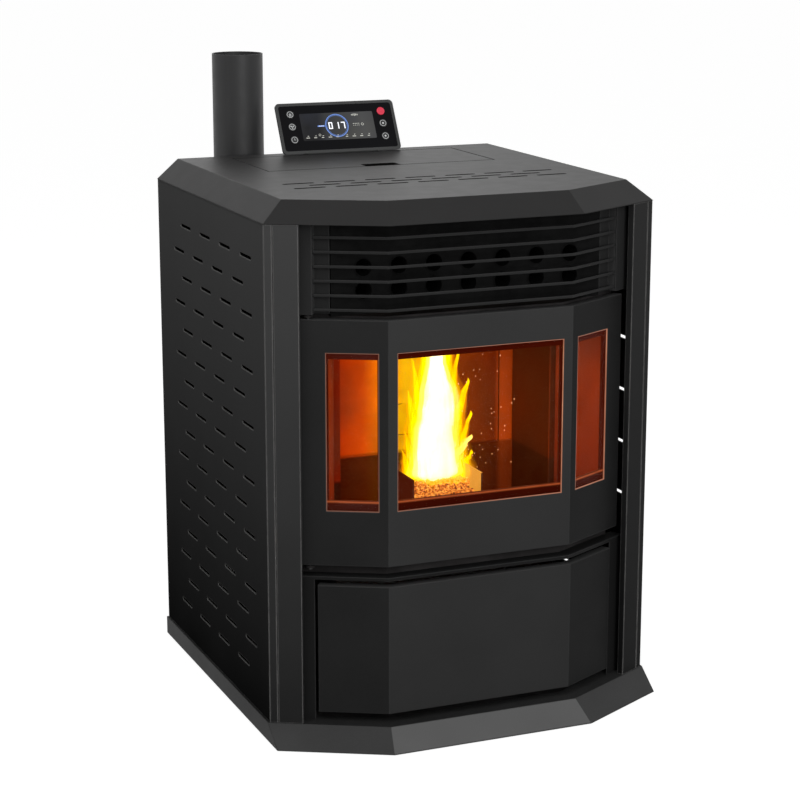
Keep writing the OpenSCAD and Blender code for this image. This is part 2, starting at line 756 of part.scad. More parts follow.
pan_y0 = face_at(drawer_in + plate);
pan_y1 = pan_y0 + pan_l;
pan_z = plinth_h + rail_up;
rail_w = 50;
rail_ahead = 60;
rail_h = pan_z - move_gap - floor_top;
module drawer_rails() color(raw_steel) for (sx = [-1, 1]) mirror([sx < 0 ? 1 : 0, 0, 0])
    difference() {
        translate([fb_deep_half - 2 * sheet - rail_w, splay_y - rail_ahead, floor_top])
            cube([rail_w, fb_straight + rail_ahead, rail_h]);
        translate([fb_deep_half - sheet - rail_w, splay_y - rail_ahead - 1, floor_top - 1])
            cube([rail_w - 2 * sheet, fb_straight + rail_ahead + 2, rail_h - sheet + 1]);
    }

// Heat exchanger
tube_z = fb_top + hx_h - tube_down;
function tube_x(i) = (i - (tube_count - 1) / 2) * tube_pitch;
tube_rows = floor((hx_h - tube_down - tube_d / 2 - plate) / tube_row_pitch) + 1;
module tube_holes(r) for (i = [0 : tube_count - 1]) for (row = [0 : tube_rows - 1])
    translate([tube_x(i), hx_front_y - 20, tube_z - row * tube_row_pitch]) rotate([-90, 0, 0])
        cylinder(h = fb_back_y - hx_front_y + 40, r = r);

module exchanger_box() color(dark_steel) difference() {
    translate([-hx_half, hx_front_y, fb_top]) cube([2 * hx_half, fb_back_y - hx_front_y, cap_z - fb_top]);
    translate([-hx_half + plate, hx_front_y + plate, fb_top + plate])
        cube([2 * (hx_half - plate), fb_back_y - hx_front_y - 2 * plate, hx_h - 2 * plate]);
    smoke_opening();
    translate([-hx_half + plate, hx_front_y + plate, fb_top + hx_h])
        cube([2 * (hx_half - plate), fb_back_y - hx_front_y, cap_z]);
    tube_holes(tube_d / 2);
}

module exchanger_tubes() color(dark_steel) for (i = [0 : tube_count - 1]) for (row = [0 : tube_rows - 1])
    translate([tube_x(i), hx_front_y - 1, tube_z - row * tube_row_pitch]) rotate([-90, 0, 0]) difference() {
        cylinder(h = fb_back_y - hx_front_y + 2, d = tube_d);
        translate([0, 0, -1]) cylinder(h = fb_back_y - hx_front_y + 4, d = tube_d - 2 * tube_wall);
    }

duct_x0 = room_x - room_fan_w / 2;
module air_duct() color(raw_steel) difference() {
    union() {
        translate([-hx_half, fb_back_y, fb_top]) cube([2 * hx_half, plenum_d, hx_h]);
        translate([duct_x0, fb_back_y, room_fan_z + room_fan_r])
            cube([room_fan_w, plenum_d, fb_top + 5 - room_fan_z - room_fan_r]);
    }
    translate([-hx_half + sheet, fb_back_y - 1, fb_top + sheet])
        cube([2 * (hx_half - sheet), plenum_d - sheet + 1, hx_h - 2 * sheet]);
    translate([duct_x0 + sheet, fb_back_y + sheet, room_fan_z + room_fan_r - 1])
        cube([room_fan_w - 2 * sheet, plenum_d - 2 * sheet, fb_top + 10 - room_fan_z - room_fan_r]);
}

smoke_duct_h = 80;
fan_eye_r = 28;
module smoke_duct() color(raw_steel) difference() {
    y1 = smoke_fan_y + smoke_duct_h / 2;
    z0 = smoke_fan_z - smoke_duct_h / 2;
    union() {
        translate([smoke_duct_x0, fb_back_y, z0]) cube([smoke_duct_w, plenum_d, fb_top - z0]);
        translate([smoke_duct_x0, fb_back_y, z0]) cube([smoke_duct_w, y1 - fb_back_y, smoke_duct_h]);
    }
    translate([smoke_duct_x0 + sheet, fb_back_y + sheet, z0 + sheet])
        cube([smoke_duct_w - 2 * sheet, plenum_d - 2 * sheet, fb_top - z0 - 2 * sheet]);
    translate([smoke_duct_x0 + sheet, fb_back_y + sheet, z0 + sheet])
        cube([smoke_duct_w - 2 * sheet, y1 - fb_back_y - 2 * sheet, smoke_duct_h - 2 * sheet]);
    translate([smoke_port_x, fb_back_y - 1, fb_top - port_drop]) cube([smoke_port_w, 4 * sheet, port_h]);
    translate([smoke_duct_x0 - 1, smoke_fan_y, smoke_fan_z]) rotate([0, 90, 0])
        cylinder(h = 10, r = fan_eye_r);
}

// Fire door
hinge_u = door_end_u - hinge_in;
module door_windows(lap, lap_low, lap_high) {
    h = window_h - lap_low - lap_high;
    translate([-window_w / 2 + lap, face_y, window_low + lap_low])
        cube([window_w - 2 * lap, bay_cut, h]);
    for (side = [-1, 1]) on_facet(front_in, side)
        translate([side_window_in + lap, -sheet, window_low + lap_low])
            cube([side_window_w - 2 * lap, bay_cut / 2, h]);
}

rim_half = end_at(door_half, front_in, front_in + sheet) - sheet * cos(facet_turn);
module door_skin() color(black_coat) difference() {
    union() {
        difference() {
            translate([0, 0, door_low]) linear_extrude(door_h)
                polygon(bay_band(front_in, door_rim, door_half));
            translate([0, 0, door_low + sheet]) linear_extrude(door_h - 2 * sheet)
                polygon(bay_band(front_in + sheet, door_rim, rim_half));
        }
        on_facet(front_in, -1) for (z = [door_low, door_top - pin_l])
            translate([hinge_u, hinge_deep, z]) cylinder(h = pin_l, r = pin_r + barrel_wall);
    }
    door_windows(0, 0, 0);
    on_facet(front_in, -1) translate([hinge_u, hinge_deep, door_low - 1])
        cylinder(h = door_h + 2, r = pin_r + pin_play);
    on_facet(front_in, 1) translate([hinge_u, latch_deep, latch_z]) rotate([0, 90, 0])
        cylinder(h = 20, r = latch_r + pin_play);
}

module door_inner_frame() color(dark_steel) difference() {
    translate([0, 0, door_low + inner_edge]) linear_extrude(door_h - 2 * inner_edge)
        polygon(bay_band(inner_in, inner_t, inner_half));
    door_windows(inner_lap_side, inner_lap_low, inner_lap_high);
}

module door_glass() color(amber_glass) {
    h = window_h + 2 * glass_lap;
    translate([-window_w / 2 - glass_lap, face_at(glass_in), window_low - glass_lap])
        cube([window_w + 2 * glass_lap, glass_t, h]);
    for (side = [-1, 1]) on_facet(glass_in, side)
        translate([side_window_in - glass_lap + 1, 0, window_low - glass_lap])
            cube([side_window_w + 2 * glass_lap - 1, glass_t, h]);
}

module door_gasket() color([0.25, 0.24, 0.22]) difference() {
    translate([0, 0, door_low + inner_edge]) linear_extrude(door_h - 2 * inner_edge)
        polygon(bay_band(gasket_in, gasket_t, end_at(inner_half, inner_in, gasket_in)));
    translate([-inner_half + gasket_w, face_y, door_low + inner_edge + gasket_w])
        cube([2 * (inner_half - gasket_w), bay_cut, door_h - 2 * inner_edge - 2 * gasket_w]);
}

bracket_r = hinge_deep - 0.5;
pin_head = pin_r + 1;
module hinge_brackets() color(dark_steel) on_facet(front_in, -1)
    for (z = [door_top + 2, door_low - 2 - plate]) translate([hinge_u, hinge_deep, z])
        linear_extrude(plate) difference() {
            union() {
                circle(bracket_r);
                translate([-bracket_r, 0]) square([2 * bracket_r, fb_frame_in - front_in - hinge_deep]);
            }
            circle(pin_r);
        }

module door_hinge_pins() color(raw_steel) on_facet(front_in, -1) translate([hinge_u, hinge_deep, 0]) {
    translate([0, 0, door_top + 2 - pin_l]) cylinder(h = pin_l + plate, r = pin_r);
    translate([0, 0, door_top + 2 + plate]) cylinder(h = 2, r = pin_head);
    translate([0, 0, door_low - 2 - plate]) cylinder(h = pin_l + plate, r = pin_r);
    translate([0, 0, door_low - 4 - plate]) cylinder(h = 2, r = pin_head);
}

// Latch: a hook on a short shaft through the door's right end, drawn lifted off its keeper pin
latch_z = door_low + latch_up;
hook_l = 10.5;
hook_drop = 7.5;
module latch_hook() color(raw_steel) on_facet(front_in, 1)
    translate([door_end_u, latch_deep, latch_z]) rotate([latch_lift, 0, 0]) {
        translate([-8, 0, 0]) rotate([0, 90, 0]) cylinder(h = 8 + move_gap + sheet, r = latch_r);
        translate([-8, 0, 0]) rotate([0, 90, 0]) cylinder(h = 8 - sheet - move_gap, r = latch_r + 1);
        translate([-8, 0, -2.5]) cube([3, hook_l, 5]);
        translate([-8, hook_l - 2, -hook_drop]) cube([3, 2, hook_drop]);
        translate([move_gap, 0, 0]) rotate([0, 90, 0]) cylinder(h = sheet, r = latch_r + 2);
        translate([move_gap, 0, -3]) cube([sheet, 12, 6]);
    }

module latch_keeper() color(raw_steel) on_facet(front_in, 1)
    translate([door_end_u - 14, latch_deep, latch_z]) {
        translate([0, 4, -9]) cube([2, fb_frame_in - front_in - latch_deep - 4, 8]);
        translate([0, 6, -5]) rotate([0, 90, 0]) cylinder(h = 10.5, r = 2);
    }

// Ash drawer
module drawer_front() color(black_coat) difference() {
    translate([0, 0, drawer_z0]) linear_extrude(drawer_z1 - drawer_z0)
        polygon(bay_band(drawer_in, door_rim, drawer_half));
    translate([0, 0, drawer_z0 + sheet]) linear_extrude(drawer_z1 - drawer_z0 - 2 * sheet)
        polygon(bay_band(drawer_in + plate, door_rim, drawer_half - 2 * sheet));
}

module pan_plan(t) intersection() {
    translate([-pan_half + t, face_y]) square([2 * (pan_half - t), pan_y1 - t - face_y]);
    polygon(casing_plan(drawer_in, drawer_in + plate + t, pan_y1));
}
module ash_pan() color(raw_steel) difference() {
    translate([0, 0, pan_z]) linear_extrude(pan_h) pan_plan(0);
    translate([0, 0, pan_z + tin]) linear_extrude(pan_h) pan_plan(tin);
}

// Fuel feed
module hopper_solid(t) {
    hull() {
        translate([-hopper_half + t, hopper_y0 + t, taper_z])
            cube([2 * (hopper_half - t), hopper_y1 - hopper_y0 - 2 * t, eps]);
        translate([-outlet_half + t, outlet_y0 + t, outlet_z - eps])
            cube([2 * (outlet_half - t), outlet_y1 - outlet_y0 - 2 * t, eps]);
    }
    translate([-hopper_half + t, hopper_y0 + t, taper_z])
        cube([2 * (hopper_half - t), hopper_y1 - hopper_y0 - 2 * t, hopper_top - taper_z + (t > 0 ? 10 : 0)]);
    translate([-outlet_half + t, outlet_y0 + t, neck_low])
        cube([2 * (outlet_half - t), outlet_y1 - outlet_y0 - 2 * t, outlet_z - neck_low]);
}
module hopper() color(raw_steel) {
    difference() {
        union() {
            hopper_solid(0);
            translate([-lid_w / 2 - hopper_rim, lid_y0 - hopper_rim, hopper_top - sheet])
                cube([lid_w + 2 * hopper_rim, lid_d + 2 * hopper_rim, body_h - hopper_top]);
        }
        hopper_solid(tin);
        translate([-lid_w / 2 - lid_gap, lid_y0 - lid_gap, hopper_top])
            cube([lid_w + 2 * lid_gap, lid_d + 2 * lid_gap, 40]);
        auger_place() translate([0, 0, -auger_r]) cylinder(h = auger_l + 2 * auger_r, r = auger_r);
        hopper_trim();
    }
}
// Everything of the outlet that lies under the auger tube
module hopper_trim() auger_place()
    translate([-2 * auger_r, -4 * auger_r, -4 * auger_r]) cube([4 * auger_r, 4 * auger_r, 2 * auger_l]);

grid_up = 60;
grid_bar = 4;
grid_rib = 6;
module hopper_grid() color(raw_steel) translate([0, hopper_y0 + tin, taper_z + grid_up]) {
    w = hopper_half - tin;
    d = hopper_y1 - hopper_y0 - 2 * tin;
    for (i = [0 : 6]) translate([-w, d * (i + 0.5) / 7 - grid_bar / 2, 0]) cube([2 * w, grid_bar, plate]);
    for (sx = [-1, 0, 1]) translate([sx * 0.55 * w - grid_rib / 2, 0, -plate]) cube([grid_rib, d, plate]);
}

finger_r = 4;
skirt_in = 12;
skirt_y0 = lid_y0 + finger_d + 9;
skirt_y1 = lid_y1 - 14;
ear_in = 7;
ear_w = 4;
ear_r = lid_pin_r + 2;
module hopper_lid() color(cap_coat) {
    difference() {
        union() {
            translate([-lid_w / 2, lid_y0, body_h - sheet]) cube([lid_w, lid_d, sheet]);
            difference() {
                translate([-lid_w / 2 + skirt_in, skirt_y0, body_h - lid_skirt])
                    cube([lid_w - 2 * skirt_in, skirt_y1 - skirt_y0, lid_skirt - sheet]);
                translate([-lid_w / 2 + skirt_in + tin, skirt_y0 + tin, body_h - lid_skirt - 1])
                    cube([lid_w - 2 * skirt_in - 2 * tin, skirt_y1 - skirt_y0 - 2 * tin, lid_skirt]);
            }
            for (sx = [-1, 1]) translate([sx * (lid_w / 2 - ear_in) - ear_w / 2, lid_axis_y, lid_axis_z]) {
                rotate([0, 90, 0]) cylinder(h = ear_w, r = ear_r);
                translate([0, -ear_r, 0]) cube([ear_w, 2 * ear_r, lid_axis_down - sheet + 1]);
            }
        }
        translate([-finger_w / 2, lid_y0 - 1, body_h - 5]) cube([finger_w, finger_d + 1 - finger_r, 10]);
        translate([-finger_w / 2 + finger_r, lid_y0 - 1, body_h - 5])
            cube([finger_w - 2 * finger_r, finger_d + 1, 10]);
        for (sx = [-1, 1])
            translate([sx * (finger_w / 2 - finger_r), lid_y0 + finger_d - finger_r, body_h - 5])
                cylinder(h = 10, r = finger_r);
        translate([-lid_w / 2 - 1, lid_axis_y, lid_axis_z]) rotate([0, 90, 0])
            cylinder(h = lid_w + 2, r = lid_pin_r + pin_play);
    }
}

module lid_hinge_brackets() color(raw_steel) for (sx = [-1, 1]) {
    eye_r = lid_axis_down - sheet - move_gap;
    bracket_x = sx * (lid_w / 2 - ear_in - ear_w - 1);
    translate([bracket_x - ear_w / 2, lid_axis_y - ear_w, hopper_top])
        cube([ear_w, ear_w + eye_r, lid_axis_z - hopper_top]);
    translate([bracket_x - ear_w / 2, lid_axis_y, lid_axis_z]) rotate([0, 90, 0])
        cylinder(h = ear_w, r = eye_r);
    translate([sx * (lid_w / 2 - ear_in - ear_w / 2 - 0.5) - ear_w - 1, lid_axis_y, lid_axis_z])
        rotate([0, 90, 0]) cylinder(h = 2 * ear_w + 2, r = lid_pin_r);
}

// Places a piece on the auger's axis: its Z runs up along the tube, its Y towards the top
module auger_place() translate(auger_foot) rotate([auger_tilt, 0, 0]) children();

chute_h = 54;
chute_z0 = outlet_z - 3;
chute_run = 74;
module chute_solid(profile, half) translate([-half, fb_back_y, chute_z0]) rotate([90, 0, 90])
    linear_extrude(2 * half) polygon(profile);
module auger_tube() color(raw_steel) difference() {
    union() {
        auger_place() cylinder(h = auger_l, r = auger_r);
        chute_solid([
            [0, 0], [chute_run, chute_run], [chute_run, chute_run + chute_h], [0, chute_h]
        ], outlet_half);
    }
    auger_place() translate([0, 0, auger_end]) cylinder(h = auger_l, r = auger_bore);
    auger_place() translate([0, 0, -1]) cylinder(h = auger_end + 2, r = shaft_r + pin_play);
    chute_solid([
        [-1, tin], [chute_run - tin, chute_run + tin],
        [chute_run - tin, chute_run + chute_h - 2.5 * tin], [-1, chute_h - 2.5 * tin]
    ], outlet_half - tin);
    difference() {
        translate([-outlet_half + tin, outlet_y0 + tin, neck_low - 20])
            cube([2 * (outlet_half - tin), outlet_y1 - outlet_y0 - 2 * tin, 200]);
        hopper_trim();
    }
}

shaft_r = 6;
shaft_l = 30;
module auger_screw() color(raw_steel) auger_place() {
    flight_l = auger_l - 18;
    turns = flight_l / auger_pitch;
    translate([0, 0, -shaft_l]) cylinder(h = shaft_l + auger_end + 1, r = shaft_r);
    translate([0, 0, auger_end + move_gap])
        cylinder(h = auger_l - 2 * auger_end - 1 - 2 * move_gap, r = shaft_r + 2);
    translate([0, 0, 2 * auger_end])
        linear_extrude(flight_l, twist = -360 * turns, slices = ceil(turns * 10))
            polygon([for (a = [-10 : 10 : 20]) (a < 0 ? 0 : auger_bore - 1) * [cos(a), sin(a)]]);
}

module auger_motor() color(dark_steel) auger_place() difference() {
    translate([-motor_half, -motor_half, -motor_l]) cube([2 * motor_half, 2 * motor_half, motor_l]);
    translate([0, 0, -shaft_l - 1]) cylinder(h = shaft_l + 10, r = shaft_r + pin_play);
}

// Exhaust fan
spigot_l = 14;
fan_motor_l = 60;
fan_motor_r = 36;
fan_shaft_l = 40;
module smoke_fan_housing() color(raw_steel) difference() {
    x0 = smoke_x - smoke_fan_w / 2;
    y1 = back_y - rear_t - 12;
    z1 = flue_z - smoke_fan_w / 2;
    union() {
        translate([x0, smoke_fan_y, smoke_fan_z]) rotate([0, 90, 0])
            cylinder(h = smoke_fan_w, r = smoke_fan_r);
        translate([x0, smoke_fan_y, z1]) cube([smoke_fan_w, y1 - smoke_fan_y, smoke_fan_w]);
        translate([smoke_x, y1 - 1, flue_z]) rotate([-90, 0, 0])
            cylinder(h = back_y + spigot_l - y1 + 1, r = pipe_r);
        translate([x0 - fan_motor_l, smoke_fan_y, smoke_fan_z]) rotate([0, 90, 0])
            cylinder(h = fan_motor_l + 1, r = fan_motor_r);
    }
    translate([x0 + sheet, smoke_fan_y, smoke_fan_z]) rotate([0, 90, 0])
        cylinder(h = smoke_fan_w - 2 * sheet, r = smoke_fan_r - sheet);
    translate([x0 + sheet, smoke_fan_y, z1 + sheet])
        cube([smoke_fan_w - 2 * sheet, y1 - sheet - smoke_fan_y, smoke_fan_w - 2 * sheet]);
    translate([smoke_x, y1 - 10, flue_z]) rotate([-90, 0, 0]) cylinder(h = 60, r = pipe_r - pipe_wall);
    translate([x0 + smoke_fan_w - 5, smoke_fan_y, smoke_fan_z]) rotate([0, 90, 0])
        cylinder(h = 10, r = fan_eye_r);
    translate([x0 - fan_shaft_l, smoke_fan_y, smoke_fan_z]) rotate([0, 90, 0])
        cylinder(h = fan_shaft_l + 10, r = fan_shaft_r + pin_play);
}

module fan_wheel(r, w, blades) {
    hub_r = 3 * fan_shaft_r;
    cylinder(h = sheet, r = r);
    cylinder(h = w, r = hub_r);
    for (i = [0 : blades - 1]) rotate([0, 0, i * 360 / blades])
        translate([hub_r - 1, -tin / 2, 0]) cube([r - hub_r + 1, tin, w]);
}

wheel_side = 8;
module smoke_impeller() color(raw_steel) {
    translate([smoke_x - smoke_fan_w / 2 + wheel_side, smoke_fan_y, smoke_fan_z]) rotate([0, 90, 0]) {
        fan_wheel(smoke_fan_r - wheel_gap, smoke_fan_w - 34, 8);
        translate([0, 0, -fan_shaft_l - 5]) cylinder(h = fan_shaft_l + 6, r = fan_shaft_r);
    }
}

// Room fan
room_motor_l = 40;
module room_fan_housing() color(raw_steel) difference() {
    x0 = room_x - room_fan_w / 2;
    union() {
        translate([x0, room_fan_y, room_fan_z]) rotate([0, 90, 0]) cylinder(h = room_fan_w, r = room_fan_r);
        translate([x0, room_fan_y - room_fan_r, room_fan_z]) cube([room_fan_w, plenum_d, room_fan_r]);
        translate([x0 + room_fan_w - 1, room_fan_y, room_fan_z]) rotate([0, 90, 0])
            cylinder(h = room_motor_l, r = fan_motor_r - sheet);
    }
    translate([x0 + sheet, room_fan_y, room_fan_z]) rotate([0, 90, 0])
        cylinder(h = room_fan_w - 2 * sheet, r = room_fan_r - sheet);
    translate([x0 + sheet, room_fan_y - room_fan_r + sheet, room_fan_z])
        cube([room_fan_w - 2 * sheet, plenum_d - 2 * sheet, room_fan_r + 1]);
    translate([x0 - 1, room_fan_y, room_fan_z]) rotate([0, 90, 0]) cylinder(h = 10, r = room_fan_w / 2);
    translate([x0 + room_fan_w - 5, room_fan_y, room_fan_z]) rotate([0, 90, 0])
        cylinder(h = room_motor_l - 10, r = fan_shaft_r + pin_play);
}

module room_rotor() color(raw_steel)
    translate([room_x + room_fan_w / 2 - wheel_side, room_fan_y, room_fan_z]) rotate([0, -90, 0]) {
        fan_wheel(room_fan_r - wheel_gap - sheet, room_fan_w - 24, 12);
        translate([0, 0, 12 - room_motor_l]) cylinder(h = room_motor_l - 11, r = fan_shaft_r);
    }

// Rear pipes
branch_y = back_y + 2;
collar_l = 12;
cap_plug = 20;
module flue_tee() color(black_coat) difference() {
    union() {
        translate([smoke_x, pipe_y, tee_low]) cylinder(h = tee_high - tee_low, r = tee_r);
        for (z = [tee_low, tee_high - collar_l]) translate([smoke_x, pipe_y, z])
            cylinder(h = collar_l, d = tee_d);
        translate([smoke_x, branch_y, flue_z]) rotate([-90, 0, 0])
            cylinder(h = pipe_y - branch_y, r = tee_r - 0.5);
    }
    translate([smoke_x, pipe_y, tee_low - 1])
        cylinder(h = tee_high - tee_low + 2, r = pipe_r - 1.5 * pipe_wall);
    translate([smoke_x, pipe_y, tee_high - socket_l]) cylinder(h = socket_l + 1, r = pipe_r);
    translate([smoke_x, pipe_y, tee_low - 1]) cylinder(h = cap_plug + 1, r = pipe_r);
    translate([smoke_x, branch_y - 1, flue_z]) rotate([-90, 0, 0])
        cylinder(h = spigot_l - 1, r = pipe_r);
    translate([smoke_x, branch_y - 1, flue_z]) rotate([-90, 0, 0])
        cylinder(h = pipe_y - branch_y + 1, r = pipe_r - 2 * pipe_wall);
}

module tee_cap() color(black_coat) translate([smoke_x, pipe_y, tee_low]) difference() {
    union() {
        cylinder(h = cap_plug, r = pipe_r);
        translate([0, 0, -collar_l / 2]) cylinder(h = collar_l / 2, d = tee_d);
        translate([0, 0, -collar_l - 2]) cylinder(h = collar_l / 2 + 2, r = 12);
    }
    cylinder(h = cap_plug + 1, r = pipe_r - pipe_wall);
}

module flue_pipe() color(black_coat) translate([smoke_x, pipe_y, tee_high - socket_l]) difference() {
    cylinder(h = pipe_top - tee_high + socket_l, r = pipe_r);
    translate([0, 0, -1]) cylinder(h = pipe_top - tee_high + socket_l + 2, r = pipe_r - pipe_wall);
}

module air_intake_pipe() color(raw_steel) translate([intake_x, 0, intake_z]) rotate([-90, 0, 0])
    difference() {
        union() {
            translate([0, 0, fb_back_y + 2]) cylinder(h = back_y - fb_back_y, r = intake_d / 2 - 1);
            translate([0, 0, back_y]) cylinder(h = 2, r = intake_d / 2 + 4);
            translate([0, 0, back_y + 2]) cylinder(h = intake_l, r = intake_d / 2);
        }
        translate([0, 0, fb_back_y])
            cylinder(h = back_y + intake_l + 4 - fb_back_y, r = intake_d / 2 - 1 - tin);
    }

rocker_x = inlet_x + 15;
rocker_w = 12;
rocker_h = 16;
module power_inlet() color(gloss_black) difference() {
    translate([inlet_x, back_y, inlet_z]) union() {
        translate([-inlet_w / 2 - 3, 0, -inlet_h / 2 - 3]) cube([inlet_w + 6, 2.5, inlet_h + 6]);
        translate([-inlet_w / 2, -22, -inlet_h / 2]) cube([inlet_w, 22.5, inlet_h]);
    }
    translate([inlet_x - 20, back_y - 16, inlet_z - 9]) cube([26, 20, 18]);
    translate([rocker_x - rocker_w / 2 - 1, back_y - 12, inlet_z - rocker_h / 2 - 2])
        cube([rocker_w + 2, 20, rocker_h + 4]);
}

module power_rocker() color(gloss_black) translate([rocker_x, back_y - 1, inlet_z]) rotate([6, 0, 0]) {
    translate([-rocker_w / 2, 0, 0]) rotate([0, 90, 0]) cylinder(h = rocker_w, r = 3);
    translate([-rocker_w / 2, 0, -rocker_h / 2]) cube([rocker_w, 4, rocker_h]);
}

// Control panel: local X across, Y into the panel, Z up along its face
module panel_place() translate([0, panel_y, body_h + panel_lift]) rotate([-panel_lean, 0, 0]) children();

foot_y = panel_y + panel_t / cos(panel_lean);
foot_l = back_y - foot_y - 4;
module control_housing() color(black_coat) {
    difference() {
        panel_place() difference() {
            hull() {
                rounded_plate(panel_w, panel_l, panel_r, panel_rim);
                rounded_plate(panel_w - 2 * panel_taper, panel_l - panel_taper, panel_r, panel_t);
            }
            translate([0, -1, face_margin]) rounded_plate(face_w, face_l, face_r, 1 + face_in + face_t);
            translate([0, -1, face_margin + face_r])
                rounded_plate(face_w - 2 * face_r, face_l - 2 * face_r, face_r - 1, panel_t - 1);
        }
        translate([-panel_w, panel_y - 50, body_h - 50]) cube([2 * panel_w, 150, 50 + panel_lift]);
    }
    translate([-base_half, panel_y + 2, body_h])
        cube([2 * base_half, foot_y - panel_y + foot_l - 2, panel_lift]);
    for (sx = [-1, 1])
        translate([sx * gusset_x - gusset_w / 2, foot_y, body_h + panel_lift - 1]) rotate([90, 0, 90])
            linear_extrude(gusset_w)
                polygon([[-2, 0], [foot_l, 0], [foot_l, foot_l / tan(panel_lean)]]);
}

module control_face() color(gloss_black) panel_place() difference() {
    translate([0, face_in, face_margin]) rounded_plate(face_w, face_l, face_r, face_t);
    for (sx = [-1, 1]) for (z = button_rows) translate([sx * button_x, -1, z]) rotate([-90, 0, 0])
        cylinder(h = 10, r = button_r + move_gap);
}

module button(sx, z) color(gloss_black) panel_place()
    translate([sx * button_x, 0, z]) rotate([-90, 0, 0]) {
        cylinder(h = button_l, r = button_r);
    }
module button_mode() button(-1, button_rows[0]);
module button_fan() button(-1, button_rows[1]);
module button_timer() button(-1, button_rows[2]);
module button_power() color("crimson") button(1, button_rows[0]);
module button_up() button(1, button_rows[1]);
module button_down() button(1, button_rows[2]);

base_plinth();
floor_pan();
levelling_feet();
left_side_panel();
right_side_panel();
rear_panel();
top_cap();
left_pillar();
right_pillar();
grille_frame();
grille_blades();
lower_frame();
firebox_shell();
firebox_front_frame();
back_liner();
side_liners();
baffle();
burn_pot();
igniter();
firebox_supports();
drawer_rails();
exchanger_box();
exchanger_tubes();
air_duct();
smoke_duct();
hinge_brackets();
door_hinge_pins();
latch_keeper();
door_skin();
door_inner_frame();
door_glass();
door_gasket();
latch_hook();
drawer_front();
ash_pan();
hopper();
hopper_grid();
hopper_lid();
lid_hinge_brackets();
auger_tube();
auger_screw();
auger_motor();
smoke_fan_housing();
smoke_impeller();
room_fan_housing();
room_rotor();
flue_tee();
tee_cap();
flue_pipe();
air_intake_pipe();
power_inlet();
power_rocker();
control_housing();
control_face();
button_mode();
button_fan();
button_timer();
button_power();
button_up();
button_down();
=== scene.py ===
"""Looks of a free-standing pellet stove with a bay front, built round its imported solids."""

import math

import bmesh
import bpy
from bpy.props import FloatProperty, FloatVectorProperty, IntProperty, PointerProperty, StringProperty
from mathutils import Matrix, Vector, noise


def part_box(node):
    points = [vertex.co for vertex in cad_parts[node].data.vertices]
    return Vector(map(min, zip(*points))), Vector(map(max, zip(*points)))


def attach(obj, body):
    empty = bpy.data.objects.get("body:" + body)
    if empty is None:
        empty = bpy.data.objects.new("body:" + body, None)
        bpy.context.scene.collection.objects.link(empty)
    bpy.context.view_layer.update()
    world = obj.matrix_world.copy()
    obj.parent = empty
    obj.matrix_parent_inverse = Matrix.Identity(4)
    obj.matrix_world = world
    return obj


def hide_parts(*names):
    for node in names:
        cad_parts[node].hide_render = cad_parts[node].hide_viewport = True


bl_info = {
    "name": "Bay Front Pellet Stove",
    "version": (1, 0, 0),
    "blender": (4, 5, 0),
    "location": "View3D > Sidebar > Stove",
    "description": "Finishes, fire, control panel and fittings of a pellet stove",
    "category": "Object",
}

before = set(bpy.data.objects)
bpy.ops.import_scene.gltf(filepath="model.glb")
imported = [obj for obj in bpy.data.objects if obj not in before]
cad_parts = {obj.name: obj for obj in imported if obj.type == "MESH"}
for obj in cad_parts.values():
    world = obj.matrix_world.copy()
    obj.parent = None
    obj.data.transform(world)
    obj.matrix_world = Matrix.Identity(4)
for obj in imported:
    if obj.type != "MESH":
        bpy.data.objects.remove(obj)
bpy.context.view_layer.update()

# Plan of the bay, in metres: its middle facet stands at BAY_FACE and ends at BAY_KINK
BAY_FACE = -0.3245
BAY_KINK = 0.1453
BAY_TURN = math.radians(28.02)
FRONT_INSET = 0.020

# Foot of the control panel's face and its lean from upright
PANEL_FOOT = (0, 0.2265, 0.7715)
PANEL_LEAN = math.radians(-29)

# Thickness of a printed mark, and how deep its back sits in the panel's face
PRINT = 0.0002

UPRIGHT = Matrix.Rotation(math.radians(90), 4, "X")
CASING = "casing"


# Places
def bay_place(inset, side):
    """Frame of one bay facet: X outwards from the kink, Y inwards, Z up."""
    kink = BAY_KINK - inset * math.tan(BAY_TURN / 2)
    place = Matrix.Translation((kink, BAY_FACE + inset, 0)) @ Matrix.Rotation(BAY_TURN, 4, "Z")
    return place if side > 0 else Matrix.Diagonal((-1, 1, 1, 1)) @ place


def panel_place(x, y, z):
    """Frame of a spot on the control panel: X across, Y up its face, Z out of it."""
    tilt = Matrix.Translation(PANEL_FOOT) @ Matrix.Rotation(PANEL_LEAN, 4, "X")
    return tilt @ Matrix.Translation((x, y, z)) @ UPRIGHT


# Mesh helpers
def rounded_face(bm, width, height, radius, place):
    """One face with rounded corners, in the XY plane of place."""
    made = bmesh.ops.create_grid(bm, x_segments=1, y_segments=1, size=0.5)["verts"]
    bmesh.ops.scale(bm, vec=(width, height, 1), verts=made)
    if radius > 0:
        made = bmesh.ops.bevel(
            bm, geom=made, offset=radius, offset_type="OFFSET", segments=3,
            profile=0.5, affect="VERTICES", material=-1,
        )["verts"]
    faces = {f for v in made for f in v.link_faces}
    bmesh.ops.transform(bm, matrix=place, verts=list({v for f in faces for v in f.verts}))
    return list(faces)


def disc_face(bm, radius, place, segments):
    """One round face, in the XY plane of place."""
    made = bmesh.ops.create_circle(bm, cap_ends=True, segments=segments, radius=radius, matrix=place)
    return list({f for v in made["verts"] for f in v.link_faces})


def hollow(bm, faces, width):
    """Leaves a band of that width round the faces' edge."""
    band = bmesh.ops.inset_region(
        bm, faces=faces, thickness=width, use_even_offset=True, use_boundary=True,
    )["faces"]
    bmesh.ops.delete(bm, geom=faces, context="FACES_ONLY")
    return band


def thicken(bm, faces, thickness=PRINT):
    bmesh.ops.solidify(bm, geom=faces, thickness=thickness)


